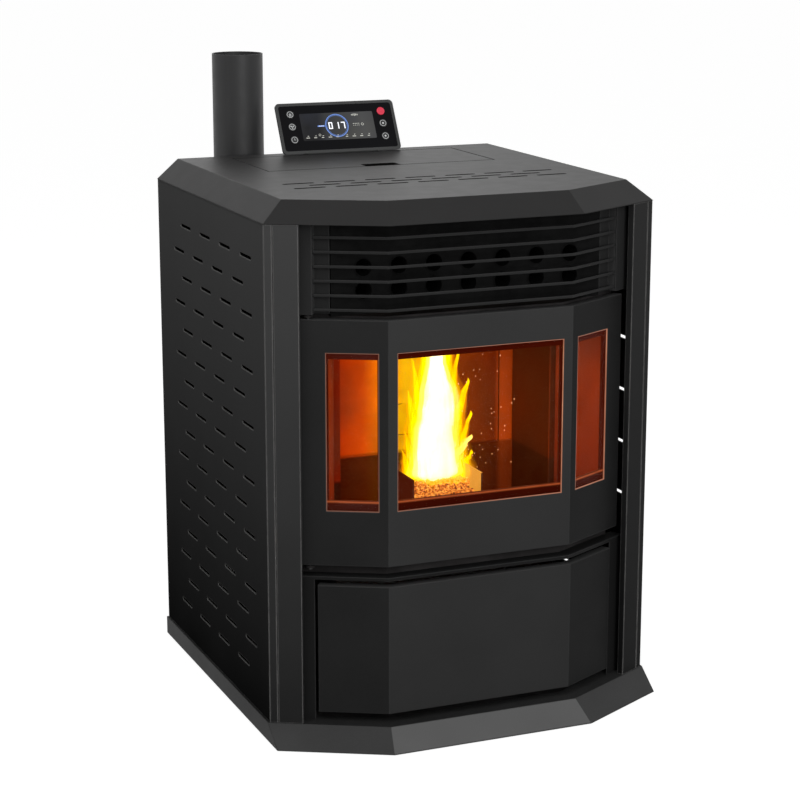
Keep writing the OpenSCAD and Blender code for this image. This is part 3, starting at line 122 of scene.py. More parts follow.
def bar(bm, width, height, place, radius, thickness=PRINT):
    thicken(bm, rounded_face(bm, width, height, radius, place), thickness)


def ring(bm, radius, width, place, segments):
    thicken(bm, hollow(bm, disc_face(bm, radius, place, segments), width))


def make_piece(bm, name, body, material, smooth=False):
    """Turns a bmesh into a piece that rides on a body of the stove."""
    bmesh.ops.remove_doubles(bm, verts=bm.verts, dist=1e-6)
    bmesh.ops.recalc_face_normals(bm, faces=bm.faces)
    mesh = bpy.data.meshes.new(name)
    bm.to_mesh(mesh)
    bm.free()
    for polygon in mesh.polygons:
        polygon.use_smooth = smooth
    mesh.materials.append(material)
    piece = bpy.data.objects.new(name, mesh)
    bpy.context.scene.collection.objects.link(piece)
    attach(piece, body)
    return piece


# Material helpers
def shade(colour, share):
    """The colour made darker or lighter by that share."""
    return [c * share for c in colour]


class Nodes:
    """A node tree, with short calls for adding nodes."""

    def __init__(self, tree):
        self.tree = tree

    def put(self, socket, value):
        if isinstance(value, bpy.types.NodeSocket):
            self.tree.links.new(value, socket)
        elif socket.type == "RGBA" and len(value) == 3:
            socket.default_value = (*value, 1)
        else:
            socket.default_value = value

    def add(self, kind, inputs=None, **settings):
        node = self.tree.nodes.new(kind)
        for key, value in settings.items():
            setattr(node, key, value)
        for key, value in (inputs or {}).items():
            self.put(node.inputs[key], value)
        return node

    def span(self, value, low, high, to_low=0.0, to_high=1.0):
        inputs = {"Value": value, "From Min": low, "From Max": high, "To Min": to_low, "To Max": to_high}
        return self.add("ShaderNodeMapRange", inputs).outputs["Result"]

    def mix(self, factor, first, second, blend="MIX"):
        node = self.add("ShaderNodeMix", data_type="RGBA", blend_type=blend)
        for socket, value in zip((node.inputs[0], node.inputs[6], node.inputs[7]), (factor, first, second)):
            self.put(socket, value)
        return node.outputs[2]

    def math(self, operation, first, second=0.0):
        node = self.add("ShaderNodeMath", operation=operation)
        self.put(node.inputs[0], first)
        self.put(node.inputs[1], second)
        return node.outputs[0]

    def product(self, first, *others):
        for other in others:
            first = self.math("MULTIPLY", first, other)
        return first

    def ramp(self, value, stops):
        node = self.add("ShaderNodeValToRGB", {"Fac": value})
        marks = node.color_ramp.elements
        while len(marks) < len(stops):
            marks.new(0.5)
        for mark, (spot, colour) in zip(marks, stops):
            mark.position = spot
            mark.color = (*colour, 1)
        return node.outputs["Color"]

    def in_view(self):
        """One for what the camera sees, also mirrored or through glass, and nought for other light."""
        path = self.add("ShaderNodeLightPath").outputs
        seen = self.math("MAXIMUM", path["Is Camera Ray"], path["Is Glossy Ray"])
        return self.math("MAXIMUM", seen, path["Is Transmission Ray"])


class Shader(Nodes):
    """A new material's nodes, with patterns that sit on the piece's own coordinates."""

    def __init__(self, name):
        self.material = bpy.data.materials.new(name)
        self.material.use_nodes = True
        super().__init__(self.material.node_tree)
        self.surface = self.tree.nodes["Principled BSDF"]
        self.place = self.add("ShaderNodeTexCoord").outputs["Object"]

    def set(self, **inputs):
        for key, value in inputs.items():
            self.put(self.surface.inputs[key.replace("_", " ")], value)

    def axes(self, vector=None):
        return self.add("ShaderNodeSeparateXYZ", {"Vector": vector or self.place}).outputs

    def facing(self):
        """The axes of the way that the surface looks."""
        return self.axes(self.add("ShaderNodeNewGeometry").outputs["Normal"])

    def stretched(self, scale):
        """The place with scaled axes, for drawn and streaked patterns."""
        return self.add("ShaderNodeMapping", {"Vector": self.place, "Scale": scale}).outputs["Vector"]

    def noise(self, scale, detail, roughness=0.5, place=None):
        inputs = {"Vector": place or self.place, "Scale": scale, "Detail": detail, "Roughness": roughness}
        return self.add("ShaderNodeTexNoise", inputs).outputs["Fac"]

    def uneven(self, scale, detail, low=0.0, high=1.0):
        """A value that wanders between low and high over the surface."""
        return self.span(self.noise(scale, detail), 0.3, 0.7, low, high)

    def soft_edges(self, radius):
        return self.add("ShaderNodeBevel", {"Radius": radius}, samples=4).outputs["Normal"]

    def bump(self, height, strength, distance, normal=None):
        inputs = {"Height": height, "Strength": strength, "Distance": distance}
        if normal is not None:
            inputs["Normal"] = normal
        return self.add("ShaderNodeBump", inputs).outputs["Normal"]

    def edge_mask(self, bevel):
        """White on folds and cut edges, where the rounded normal leaves the flat one."""
        dot = self.add("ShaderNodeVectorMath", operation="DOT_PRODUCT")
        self.put(dot.inputs[0], bevel)
        self.put(dot.inputs[1], self.add("ShaderNodeNewGeometry").outputs["Normal"])
        return self.span(dot.outputs["Value"], 1.0, 0.95)


def powder_coat(
    name, colour, roughness, edge, specular=0.03, low=1.0, high=1.0,
    turned=1.0, right=1.0, sides=1.0, level=1.0, cut=None,
):
    """Baked coat on sheet steel, with fine orange peel and painted highlights along folds.

    Its tone climbs from low at the foot to high at the top, a painted shade that is darker low down.
    It is multiplied by turned on facets that turn from the front, by right on those that turn right,
    by sides on faces that look sideways and by level on those that look up: painted light and shade
    by the way a face looks. edge is the colour of the painted highlight along folds and cut edges.
    Upright faces over the height of cut are black: a painted shadow on the walls of slots and gaps.
    """
    s = Shader(name)
    folds = s.soft_edges(0.0024)
    grain = s.noise(1400, 2)
    z = s.axes()[2]
    # Painted shade: darker towards the floor, lighter towards the top
    tone = s.mix(s.span(z, 0.02, 0.74), shade(colour, low), shade(colour, high))
    facing = s.facing()
    across = s.math("ABSOLUTE", facing[0])
    # Painted light and shade by the way each face looks
    for slope, start, end, share in (
        (across, 0.1, 0.4, turned), (facing[0], 0.1, 0.4, right),
        (across, 0.6, 0.95, sides), (facing[2], 0.9, 0.98, level),
    ):
        if share != 1.0:
            tone = s.mix(1.0, tone, s.span(slope, start, end, 1.0, share), "MULTIPLY")
    tone = s.mix(0.05, tone, s.mix(s.uneven(9, 3), (0, 0, 0), shade(colour, 2)))
    tone = s.mix(s.product(s.span(grain, 0.62, 0.72), 0.25), tone, shade(colour, 1.8))
    # Painted highlight along folds and cut edges, uneven along its length
    edge_highlight = s.product(s.edge_mask(folds), s.span(s.noise(60, 3), 0.25, 0.6, 0.6, 1.0))
    tone = s.mix(edge_highlight, tone, edge)
    # Painted shadow: upright faces above cut, the walls of slots and gaps in the sheet, are black
    if cut:
        upright = s.math("LESS_THAN", s.math("ABSOLUTE", facing[2]), 0.5)
        tone = s.mix(s.product(upright, s.math("GREATER_THAN", z, cut)), tone, (0.001, 0.001, 0.001))
    s.set(
        Base_Color=tone,
        Roughness=s.uneven(40, 3, roughness - 0.015, roughness + 0.015),
        Specular_IOR_Level=specular,
        Normal=s.bump(grain, 0.25, 0.0001, folds),
    )
    return s.material


def stove_paint(name, colour):
    """Sooty heat-proof paint with a dry, sandy grain."""
    s = Shader(name)
    soot = s.noise(14, 4, 0.6)
    s.set(
        Base_Color=s.mix(s.span(soot, 0.35, 0.65), colour, shade(colour, 2.2)),
        Roughness=s.uneven(70, 2, 0.62, 0.8),
        Specular_IOR_Level=0.05,
        Normal=s.bump(s.noise(900, 3), 0.35, 0.00015, s.soft_edges(0.001)),
    )
    return s.material


def painted_firelight(name, dark, inner_firelight=False, iron=False):
    """Firebox surfaces with the fire's light painted on as glow: bright beside it, dim to its right,
    soot-stained all over.
    """
    s = Shader(name)
    x, y, z = s.axes()
    turn = s.facing()
    leftwards = s.span(turn[0], -0.3, -0.8)
    grit = s.noise(520, 4, 0.65)
    smoke = s.noise(11, 3, 0.55)
    if iron:
        # Painted firelight: the pot's faces that look left or up, right of the middle, glow orange
        lit = s.math("MAXIMUM", leftwards, s.span(turn[2], 0.5, 0.9))
        hot = s.mix(s.product(lit, s.span(x, 0.0, 0.02)), (0.07, 0.008, 0.002), (0.95, 0.40, 0.05))
        strength = s.span(smoke, 0.3, 0.7, 0.75, 1.05)
    elif inner_firelight:
        # Painted firelight: inner faces near the door glow dull red, brightest between a quarter and three
        # quarters up
        inwards = s.math("GREATER_THAN", s.product(x, turn[0], -1.0), 0.002)
        splay = s.product(inwards, s.span(y, -0.17, -0.19))
        hot = s.ramp(s.span(z, 0.268, 0.568), [
            (0.0, (0.04, 0.004, 0.001)), (0.28, (0.20, 0.018, 0.002)), (0.75, (0.26, 0.028, 0.003)),
            (1.0, (0.08, 0.008, 0.002)),
        ])
        strength = s.product(splay, s.span(smoke, 0.2, 0.8, 0.8, 1.1))
    else:
        # Painted firelight across the lining: brightest behind the flame, fading to each side, with a lit strip
        # near the right end
        across = s.span(x, -0.18, 0.18)
        hot = s.ramp(across, [
            (0.0, (0.12, 0.004, 0.0)), (0.16, (0.34, 0.015, 0.0)), (0.28, (0.72, 0.07, 0.0)),
            (0.38, (0.94, 0.24, 0.0)), (0.47, (0.96, 0.50, 0.002)), (0.53, (0.93, 0.45, 0.002)),
            (0.61, (0.50, 0.09, 0.001)), (0.70, (0.26, 0.035, 0.001)), (0.88, (0.16, 0.015, 0.001)),
            (0.905, (0.46, 0.055, 0.004)), (0.955, (0.36, 0.040, 0.002)), (0.965, (0.05, 0.004, 0.0)),
        ])
        # Painted shade on faces that look left, away from the fire
        hot = s.mix(leftwards, hot, (0.07, 0.008, 0.0005))
        # Painted shade: weaker below the pellets, more so left of the middle, dimmer high up on the right,
        # wavering with the smoke
        upper = s.math("MAXIMUM", s.span(z, 0.350, 0.356), s.span(across, 0.5, 0.65, 0.10, 0.45))
        swirl = s.span(smoke, 0.35, 0.68, 0.55, 1.1)
        dim = s.product(s.span(across, 0.55, 0.75), s.span(z, 0.46, 0.57, 0.0, 0.7))
        strength = s.product(upper, swirl, s.math("SUBTRACT", 1.0, dim))
    stain = s.mix(s.span(smoke, 0.35, 0.6), dark, shade(dark, 0.35))
    s.set(
        Base_Color=s.mix(s.span(grit, 0.55, 0.7), stain, shade(dark, 2.0)),
        Roughness=s.span(grit, 0.2, 0.8, 0.75, 0.95),
        Specular_IOR_Level=0.05,
        Emission_Color=hot,
        Emission_Strength=strength,
        Normal=s.bump(s.noise(260, 4, 0.6), 0.5, 0.0008),
    )
    return s.material


def bare_steel(name, colour, roughness, spangle=0.0, stretch=(1, 1, 1)):
    """Bare or zinc-coated steel: drawn grain, faint stains, spangle on the zinc-coated sheets."""
    s = Shader(name)
    lines = s.noise(180, 3, 0.6, s.stretched(stretch))
    tone = s.mix(s.uneven(13, 3), shade(colour, 0.82), colour)
    if spangle:
        flakes = s.add("ShaderNodeTexVoronoi", {"Vector": s.place, "Scale": 85.0}).outputs["Color"]
        grey = s.add("ShaderNodeSeparateColor", {"Color": flakes}).outputs[0]
        tone = s.mix(s.product(grey, spangle), tone, shade(colour, 1.5))
    s.set(
        Base_Color=tone,
        Metallic=1.0,
        Roughness=s.span(lines, 0.3, 0.7, roughness - 0.07, roughness + 0.08),
        Normal=s.bump(lines, 0.12, 0.0001, s.soft_edges(0.0006)),
    )
    return s.material


def moulding(name, colour, roughness, specular=0.4):
    """Moulded plastic: fine spark-eroded grain, or nearly smooth where it is glossy."""
    s = Shader(name)
    grain = 0.12 if roughness > 0.3 else 0.01
    s.set(
        Base_Color=s.mix(s.span(s.noise(25, 2), 0.35, 0.65), colour, shade(colour, 1.25)),
        Roughness=s.uneven(90, 2, roughness - 0.03, roughness + 0.04),
        Specular_IOR_Level=specular,
        Normal=s.bump(s.noise(2200, 1), grain, 0.00006, s.soft_edges(0.0008)),
    )
    return s.material


def light_paint(name, colour, strength):
    """Printed mark with light behind it, slightly uneven as a diffuser leaves it."""
    s = Shader(name)
    s.set(
        Base_Color=shade(colour, 0.5),
        Roughness=s.uneven(300, 1, 0.3, 0.4),
        Emission_Color=s.mix(s.uneven(160, 2), shade(colour, 0.8), colour),
        Emission_Strength=strength,
    )
    return s.material


def flame_gas(name, low, high, strength, cover):
    """Burning gas: its colour climbs from low to high, and it thins out towards its rim."""
    s = Shader(name)
    lick = s.noise(75, 3, 0.6, s.stretched((1, 1, 0.3)))
    climb = s.math("ADD", s.axes()[2], s.product(lick, 0.06))
    rim = s.span(s.add("ShaderNodeLayerWeight", {"Blend": 0.5}).outputs["Facing"], 0.04, 0.78, 1.0, 0.0)
    s.set(
        Base_Color=(0, 0, 0),
        Roughness=s.span(lick, 0, 1, 0.9, 1.0),
        Specular_IOR_Level=0.0,
        Emission_Color=s.mix(s.span(climb, 0.338, 0.548), low, high),
        Emission_Strength=strength,
        Alpha=s.product(s.span(lick, 0.25, 0.6, 0.75, 1.0), rim, cover),
    )
    return s.material


def ember(name):
    """Wood pellets in every state from charred to white-hot."""
    s = Shader(name)
    fibre = s.noise(700, 3)
    s.set(
        Base_Color=s.mix(s.span(fibre, 0.35, 0.65), (0.02, 0.012, 0.008), (0.12, 0.06, 0.03)),
        Roughness=s.span(fibre, 0.3, 0.7, 0.8, 0.95),
        Emission_Color=s.ramp(s.noise(230, 2, 0.6), [
            (0.36, (0.03, 0.003, 0.0)), (0.44, (0.55, 0.09, 0.004)), (0.54, (0.9, 0.28, 0.03)),
            (0.66, (1.0, 0.52, 0.10)),
        ]),
        Emission_Strength=1.1,
        Normal=s.bump(fibre, 0.5, 0.0004),
    )
    return s.material


# Values
class StoveFinish(bpy.types.PropertyGroup):
    coat: FloatVectorProperty(
        name="Coat", description="Powder coat of the door and the front", subtype="COLOR",
        size=3, min=0, max=1, default=(0.045, 0.045, 0.045),
    )
    side_coat: FloatVectorProperty(
        name="Side coat", description="Powder coat of the sides and the pillars", subtype="COLOR",
        size=3, min=0, max=1, default=(0.036, 0.036, 0.036),
    )
    cap_coat: FloatVectorProperty(
        name="Cap coat", description="Powder coat of the top", subtype="COLOR",
        size=3, min=0, max=1, default=(0.024, 0.0236, 0.0236),
    )
    # Colour of the painted highlight along folds and cut edges
    fold_highlight: FloatVectorProperty(
        name="Fold tint", description="Lighter tone along folds and cut edges", subtype="COLOR",
        size=3, min=0, max=1, default=(0.21, 0.207, 0.203),
    )
    flue_paint: FloatVectorProperty(
        name="Flue paint", description="Heat-proof paint of the flue", subtype="COLOR",
        size=3, min=0, max=1, default=(0.018, 0.018, 0.0185),
    )
    roughness: FloatProperty(
        name="Coat roughness", description="Roughness of the powder coat", subtype="FACTOR",
        min=0, max=1, default=0.46,
    )


class StoveFire(bpy.types.PropertyGroup):
    height: FloatProperty(
        name="Flame height", description="Height of the tallest flame over the pellets",
        unit="LENGTH", default=0.252,
    )
    bed_level: FloatProperty(
        name="Pellet level", description="Height of the burning pellets over the floor",
        unit="LENGTH", default=0.326,
    )
    pellet_count: IntProperty(name="Pellets", description="Pellets in the burn pot", default=400)
    pellet_radius: FloatProperty(
        name="Pellet radius", description="Radius of a wood pellet", unit="LENGTH", default=0.0027,
    )
    spark_count: IntProperty(name="Sparks", description="Sparks beside the flame", default=36)


class StovePanel(bpy.types.PropertyGroup):
    reading: StringProperty(name="Reading", description="Number on the display", default="017")
    ring_radius: FloatProperty(
        name="Ring radius", description="Radius of the ring round the number", unit="LENGTH", default=0.0195,
    )
    glow: FloatVectorProperty(
        name="Ring glow", description="Colour of the lit ring", subtype="COLOR",
        size=3, min=0, max=1, default=(0.11, 0.21, 0.55),
    )


class StoveStage(bpy.types.PropertyGroup):
    camera_place: FloatVectorProperty(
        name="Camera place", description="Where the camera stands", subtype="XYZ", unit="LENGTH",
        size=3, default=(-1.2368, -2.9859, 1.1891),
    )
    camera_turn: FloatProperty(
        name="Camera turn", description="Camera's turn to the right of straight ahead",
        subtype="ANGLE", default=math.radians(22.55),
    )
    camera_drop: FloatProperty(
        name="Camera drop", description="Angle that the camera looks down by",
        subtype="ANGLE", default=math.radians(13.42),
    )
    camera_lens: FloatProperty(name="Lens", description="Focal length in millimetres", default=98.0)
    room_light: FloatProperty(name="Room light", description="Strength of the light all round", default=0.38)


def finish():
    return bpy.context.scene.stove_finish


def coat_nodes(material, *names):
    """Gives solids of the stove their finish."""
    for name in names:
        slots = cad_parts[name].data.materials
        slots.clear()
        slots.append(material)


# Finishes of the solids
class STOVE_OT_coat_front(bpy.types.Operator):
    """Powder coat on the plinth, the front frames, the fire door and the ash drawer"""
    bl_idname = "stove.coat_front"
    bl_label = "Coat Front"

    def execute(self, context):
        f = finish()
        # soft is the colour of the painted highlight along folds
        soft = shade(f.coat, 1.3)
        # Painted shade: darker towards the floor and on the bay's turned facets, most on the right one
        coat = powder_coat(
            "front coat", f.coat, f.roughness, soft, low=0.72, high=1.08, turned=0.52, right=0.67,
        )
        coat_nodes(coat, "door_skin", "drawer_front")
        # Painted light and shade: turned facets darker, faces that look sideways lighter
        coat = powder_coat("cheek coat", f.coat, f.roughness, soft, turned=0.6, sides=2.4)
        coat_nodes(coat, "grille_frame")
        # Painted shade: the jambs' front faces nearly black; painted light: faces that look sideways much
        # lighter
        coat = powder_coat("jamb coat", shade(f.coat, 0.3), f.roughness, f.coat, sides=6.0)
        coat_nodes(coat, "lower_frame")
        coat = powder_coat("blade coat", shade(f.coat, 0.6), f.roughness, f.coat)
        coat_nodes(coat, "grille_blades")
        # Painted light and shade: the sloping front lighter, turned facets and sides black, level tops dark
        coat = powder_coat("plinth coat", shade(f.coat, 2.6), 0.45, f.coat, 0.05, turned=0.0, level=0.12)
        coat_nodes(coat, "base_plinth")
        return {"FINISHED"}


class STOVE_OT_coat_sides(bpy.types.Operator):
    """Powder coat on the side panels and the corner pillars"""
    bl_idname = "stove.coat_sides"
    bl_label = "Coat Sides"

    def execute(self, context):
        f = finish()
        # Painted shade: darker towards the floor, lighter towards the top, with painted highlights along the
        # folds
        coat = powder_coat("side coat", f.side_coat, 0.7, f.fold_highlight, 0.0, low=0.25, high=2.9)
        coat_nodes(coat, "left_side_panel", "right_side_panel")
        # Painted shade: the right pillar darker, as it turns from the light, and both darker towards the floor
        for side, share in (("left", 1.0), ("right", 0.4)):
            tone = shade(f.side_coat, share)
            coat = powder_coat(side + " pillar coat", tone, 0.5, f.fold_highlight, low=0.5, high=1.85)
            coat_nodes(coat, side + "_pillar")
        return {"FINISHED"}


class STOVE_OT_coat_top(bpy.types.Operator):
    """Powder coat on the top cap and the hopper lid"""
    bl_idname = "stove.coat_top"
    bl_label = "Coat Top"

    def execute(self, context):
        f = finish()
        low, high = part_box("top_cap")
        # edge: faint painted highlight along folds; cut: painted shadow, upright faces in the top's slots and
        # gaps black
        edge = shade(f.cap_coat, 1.1)
        coat = powder_coat("cap coat", f.cap_coat, f.roughness, edge, 0.075, cut=high.z - 0.002)
        coat_nodes(coat, "top_cap", "hopper_lid")
        return {"FINISHED"}


class STOVE_OT_paint_inside(bpy.types.Operator):
    """Heat-proof paint on the plates inside the casing and on its rear"""
    bl_idname = "stove.paint_inside"
    bl_label = "Paint Inside"

    def execute(self, context):
        coat_nodes(
            stove_paint("heat paint", (0.016, 0.015, 0.015)),
            "floor_pan", "firebox_front_frame", "firebox_supports", "hinge_brackets", "auger_motor",
        )
        coat_nodes(stove_paint("duct paint", (0.004, 0.004, 0.004)), "exchanger_box", "exchanger_tubes")
        coat_nodes(self.lit_frame(), "door_inner_frame")
        # The rear coat's lighter (0.12, 0.12, 0.12) is a painted highlight along its folds
        coat = powder_coat("rear coat", (0.048, 0.048, 0.048), 0.5, (0.12, 0.12, 0.12), 0.1)
        coat_nodes(coat, "rear_panel")
        coat_nodes(painted_firelight("firebox plate", (0.02, 0.016, 0.014), inner_firelight=True), "firebox_shell")
        return {"FINISHED"}

    def lit_frame(self):
        """The door's inner frame, with painted firelight: a dull red glow, bright on the edges of its openings.
        """
        s = Shader("inner frame")
        grain = s.noise(900, 3)
        s.set(
            Base_Color=s.mix(s.span(grain, 0.35, 0.65), (0.004, 0.003, 0.003), (0.010, 0.007, 0.006)),
            Roughness=s.uneven(70, 2, 0.6, 0.75),
            Specular_IOR_Level=0.04,
            Emission_Color=s.ramp(s.span(s.axes()[2], 0.328, 0.568), [
                (0.0, (0.030, 0.003, 0.001)), (0.080, (0.045, 0.004, 0.001)), (0.090, (0.45, 0.10, 0.03)),
                (0.096, (0.06, 0.006, 0.002)), (0.95, (0.05, 0.004, 0.001)), (1.0, (0.015, 0.002, 0.001)),
            ]),
            Emission_Strength=1.0,
            Normal=s.bump(grain, 0.35, 0.00015, s.soft_edges(0.001)),
        )
        return s.material


class STOVE_OT_line_firebox(bpy.types.Operator):
    """Vermiculite lining and the cast burn pot, with the fire's light painted on them"""
    bl_idname = "stove.line_firebox"
    bl_label = "Line Firebox"

    def execute(self, context):
        coat_nodes(painted_firelight("firebrick", (0.055, 0.020, 0.008)), "back_liner", "side_liners", "baffle")
        coat_nodes(painted_firelight("pot iron", (0.04, 0.025, 0.018), iron=True), "burn_pot")
        return {"FINISHED"}


class STOVE_OT_plate_steel(bpy.types.Operator):
    """Bare and zinc-coated steel of the ducts, the feed, the fans and the fittings"""
    bl_idname = "stove.plate_steel"
    bl_label = "Plate Steel"

    def execute(self, context):
        coat_nodes(
            bare_steel("zinc sheet", (0.40, 0.41, 0.42), 0.42, spangle=0.5),
            "air_duct", "smoke_duct", "hopper", "hopper_grid", "smoke_fan_housing", "room_fan_housing",
            "drawer_rails", "ash_pan", "air_intake_pipe",
        )
        coat_nodes(
            bare_steel("turned steel", (0.46, 0.45, 0.44), 0.3, stretch=(1, 1, 12)),
            "lid_hinge_brackets", "auger_screw", "smoke_impeller", "room_rotor", "igniter",
        )
        coat_nodes(
            bare_steel("blackened steel", (0.05, 0.05, 0.05), 0.5),
            "door_hinge_pins", "latch_keeper", "latch_hook",
        )
        coat_nodes(self.chute_sheet(), "auger_tube")
        return {"FINISHED"}

    def chute_sheet(self):
        """Sooty steel of the chute, with the fire's light painted on its inside and at its mouth."""
        s = Shader("chute sheet")
        x, y, z = s.axes()
        soot = s.uneven(40, 3)
        inside = s.product(s.span(y, 0.045, 0.030), s.span(s.math("ABSOLUTE", x), 0.0262, 0.0258))
        inner = s.math("LESS_THAN", s.product(s.facing()[0], x), 0.0)
        s.set(
            Base_Color=s.mix(inside, s.mix(soot, (0.05, 0.045, 0.04), (0.30, 0.29, 0.28)), (0.01, 0.004, 0)),
            Metallic=1.0,
            Roughness=s.uneven(40, 3, 0.4, 0.6),
            Emission_Color=s.mix(soot, (0.90, 0.42, 0.002), (0.94, 0.50, 0.002)),
            Emission_Strength=s.product(inside, s.math("MAXIMUM", inner, s.math("LESS_THAN", y, 0.02))),
        )
        return s.material


class STOVE_OT_paint_flue(bpy.types.Operator):
    """Heat-proof paint on the flue pipe and its tee"""
    bl_idname = "stove.paint_flue"
    bl_label = "Paint Flue"

    def execute(self, context):
        paint = finish().flue_paint
        s = Shader("flue paint")
        streak = s.noise(30, 4, 0.6, s.stretched((1, 1, 0.05)))
        s.set(
            Base_Color=s.mix(s.span(streak, 0.35, 0.65), paint, shade(paint, 1.5)),
            Roughness=s.uneven(60, 2, 0.44, 0.52),
            Specular_IOR_Level=0.33,
            Normal=s.bump(s.noise(1500, 2), 0.2, 0.0001, s.soft_edges(0.001)),
        )
        coat_nodes(s.material, "flue_pipe", "flue_tee", "tee_cap")
        return {"FINISHED"}


class STOVE_OT_glaze_door(bpy.types.Operator):
    """Ceramic glass with faint soot, and the edges of the three windows with painted firelight"""
    bl_idname = "stove.glaze_door"
    bl_label = "Glaze Door"

    def execute(self, context):
        s = Shader("fire glass")
        s.set(
            Base_Color=s.mix(s.span(s.noise(16, 3), 0.45, 0.75), (0.97, 0.93, 0.88), (0.80, 0.70, 0.62)),
            Roughness=s.span(s.noise(24, 3), 0.5, 0.8, 0.0, 0.05),
            Transmission_Weight=1.0,
            IOR=1.04,
        )
        coat_nodes(s.material, "door_glass")
        self.window_edges()
        return {"FINISHED"}

    def window_edges(self):
        """A thin strip round the inside of each window's cut in the door's skin, with painted firelight,
        brighter to the right.
        """
        s = Shader("window edge")
        warm = s.noise(30, 2)
        s.set(
            Base_Color=(0.16, 0.07, 0.045),
            Roughness=s.span(warm, 0.3, 0.7, 0.3, 0.45),
            Emission_Color=s.mix(s.span(warm, 0.35, 0.65), (0.55, 0.18, 0.09), (0.75, 0.30, 0.17)),
            Emission_Strength=s.span(s.axes()[0], -0.19, 0.13, 0.10, 0.45),
        )
        height, middle, front_width = 0.225, 0.4495, 0.254
        side_width, side_middle = 0.074, 0.050
        clear, depth, strip = 0.0002, 0.0018, 0.0009
        windows = [(front_width, Matrix.Translation((0, BAY_FACE + FRONT_INSET + clear, middle)) @ UPRIGHT)]
        for side in (-1, 1):
            # The mirrored facet's strip gets its depth outwards, so it starts from the skin's inner face
            start = clear if side > 0 else clear + depth
            place = bay_place(FRONT_INSET, side) @ Matrix.Translation((side_middle, start, middle)) @ UPRIGHT
            windows.append((side_width, place))
        bm = bmesh.new()
        for width, place in windows:
            faces = rounded_face(bm, width, height, 0.0, place)
            thicken(bm, hollow(bm, faces, strip), depth)
        make_piece(bm, "window_edges", "fire_door", s.material)


class STOVE_OT_lay_gasket(bpy.types.Operator):
    """Four-strand glass rope in the door's groove"""
    bl_idname = "stove.lay_gasket"
    bl_label = "Lay Gasket"

    def execute(self, context):
        low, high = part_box("door_gasket")
        # Half width of the loop, its depth in the bay, its gap to the groove's ends, and its corners' size
        half, inset, margin, turn = 0.2225, 0.0352, 0.0042, 0.012
        kink = BAY_KINK - inset * math.tan(BAY_TURN / 2)

        def on_bay(x, z):
            y = BAY_FACE + inset + max(0.0, abs(x) - kink) * math.tan(BAY_TURN)
            return Vector((x, y, z))

        bottom, top = low.z + margin, high.z - margin
        corners = [(-half, bottom), (half, bottom), (half, top), (-half, top)]
        loop = []
        for i, corner in enumerate(corners):
            before, here, after = Vector(corners[i - 1]), Vector(corner), Vector(corners[(i + 1) % 4])
            into = (before - here).normalized() * turn
            out = (after - here).normalized() * turn
            for k in range(7):
                t = k / 6
                loop.append(here + into * (1 - t) ** 2 + out * t ** 2)
        step = 0.002
        dense = []
        for a, b in zip(loop, loop[1:] + loop[:1]):
            steps = max(1, int((b - a).length / step))
            dense += [on_bay(*a.lerp(b, k / steps)) for k in range(steps)]
        count = len(dense)
        centre = [sum((dense[(i + k) % count] for k in range(-2, 3)), Vector()) / 5 for i in range(count)]
        rope = self.strands(centre)
        piece = make_piece(rope, "gasket_rope", "fire_door", self.glass_rope(), smooth=True)
        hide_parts("door_gasket")
        return {"FINISHED"}

    def strands(self, centre):
        """Four strands laid round a closed line of points."""
        strand_count, strand_radius, lay_radius, pitch = 4, 0.0019, 0.0021, 0.016
        length = sum((a - b).length for a, b in zip(centre, centre[1:] + centre[:1]))
        turns = round(length / pitch)
        curve = bpy.data.curves.new("rope strands", "CURVE")
        curve.dimensions, curve.bevel_depth, curve.bevel_resolution = "3D", strand_radius, 1
        for strand in range(strand_count):
            line = curve.splines.new("POLY")
            line.use_cyclic_u = True
            line.points.add(len(centre) - 1)
            for i, point in enumerate(centre):
                along = (centre[(i + 1) % len(centre)] - centre[i - 1]).normalized()
                side = along.cross(Vector((0, 1, 0))).normalized()
                angle = 2 * math.pi * (turns * i / len(centre) + strand / strand_count)
                spot = point + (side * math.cos(angle) + side.cross(along) * math.sin(angle)) * lay_radius
                line.points[i].co = (*spot, 1)
        drawn = bpy.data.objects.new("rope strands", curve)
        bm = bmesh.new()
        bm.from_mesh(drawn.to_mesh())
        drawn.to_mesh_clear()
        bpy.data.objects.remove(drawn)
        bpy.data.curves.remove(curve)
        return bm

    def glass_rope(self):
        s = Shader("glass rope")
        fibre = s.noise(1300, 3, 0.6)
        s.set(
            Base_Color=s.mix(s.span(fibre, 0.35, 0.65), (0.10, 0.095, 0.088), (0.30, 0.29, 0.27)),
            Roughness=s.span(fibre, 0.2, 0.8, 0.85, 0.98),
            Normal=s.bump(fibre, 0.6, 0.0003),
        )
        return s.material


# Fire
def flame_tongue(bm, foot, levels, phase, girth, spread):
    """One wavering flame, drawn up through levels of (height, offset to the side, half width)."""
    depth = 0.6
    made = bmesh.ops.create_uvsphere(bm, u_segments=28, v_segments=44, radius=1.0)["verts"]
    tall = levels[-1][0]
    for v in made:
        t = (1 - math.cos(math.pi * (v.co.z + 1) / 2)) / 2
        height = t * tall
        k = max(i for i, level in enumerate(levels[:-1]) if i == 0 or level[0] <= height)
        low, high = levels[k], levels[k + 1]
        f = (height - low[0]) / (high[0] - low[0])
        f = f * f * (3 - 2 * f)
        shift, half = (low[j] + (high[j] - low[j]) * f for j in (1, 2))
        spin = math.atan2(v.co.y, v.co.x)
        ripple = noise.noise(Vector((math.cos(spin) * 1.3 + phase, math.sin(spin) * 1.3, t * 5)))
        streak = noise.noise(Vector((math.cos(spin) * 4.5, math.sin(spin) * 4.5 + phase, t * 3.5)))
        ends = abs(v.co.z) > 0.9999
        wide = half * girth + spread * min(1.0, half / 0.008)
        reach = 0.0 if ends else wide * (1 + 0.22 * ripple + 0.20 * streak)
        v.co = Vector((
            foot[0] + shift + reach * math.cos(spin),
            foot[1] + depth * reach * math.sin(spin) + 0.006 * t * ripple,
            foot[2] + height + 0.004 * ripple * t,
        ))


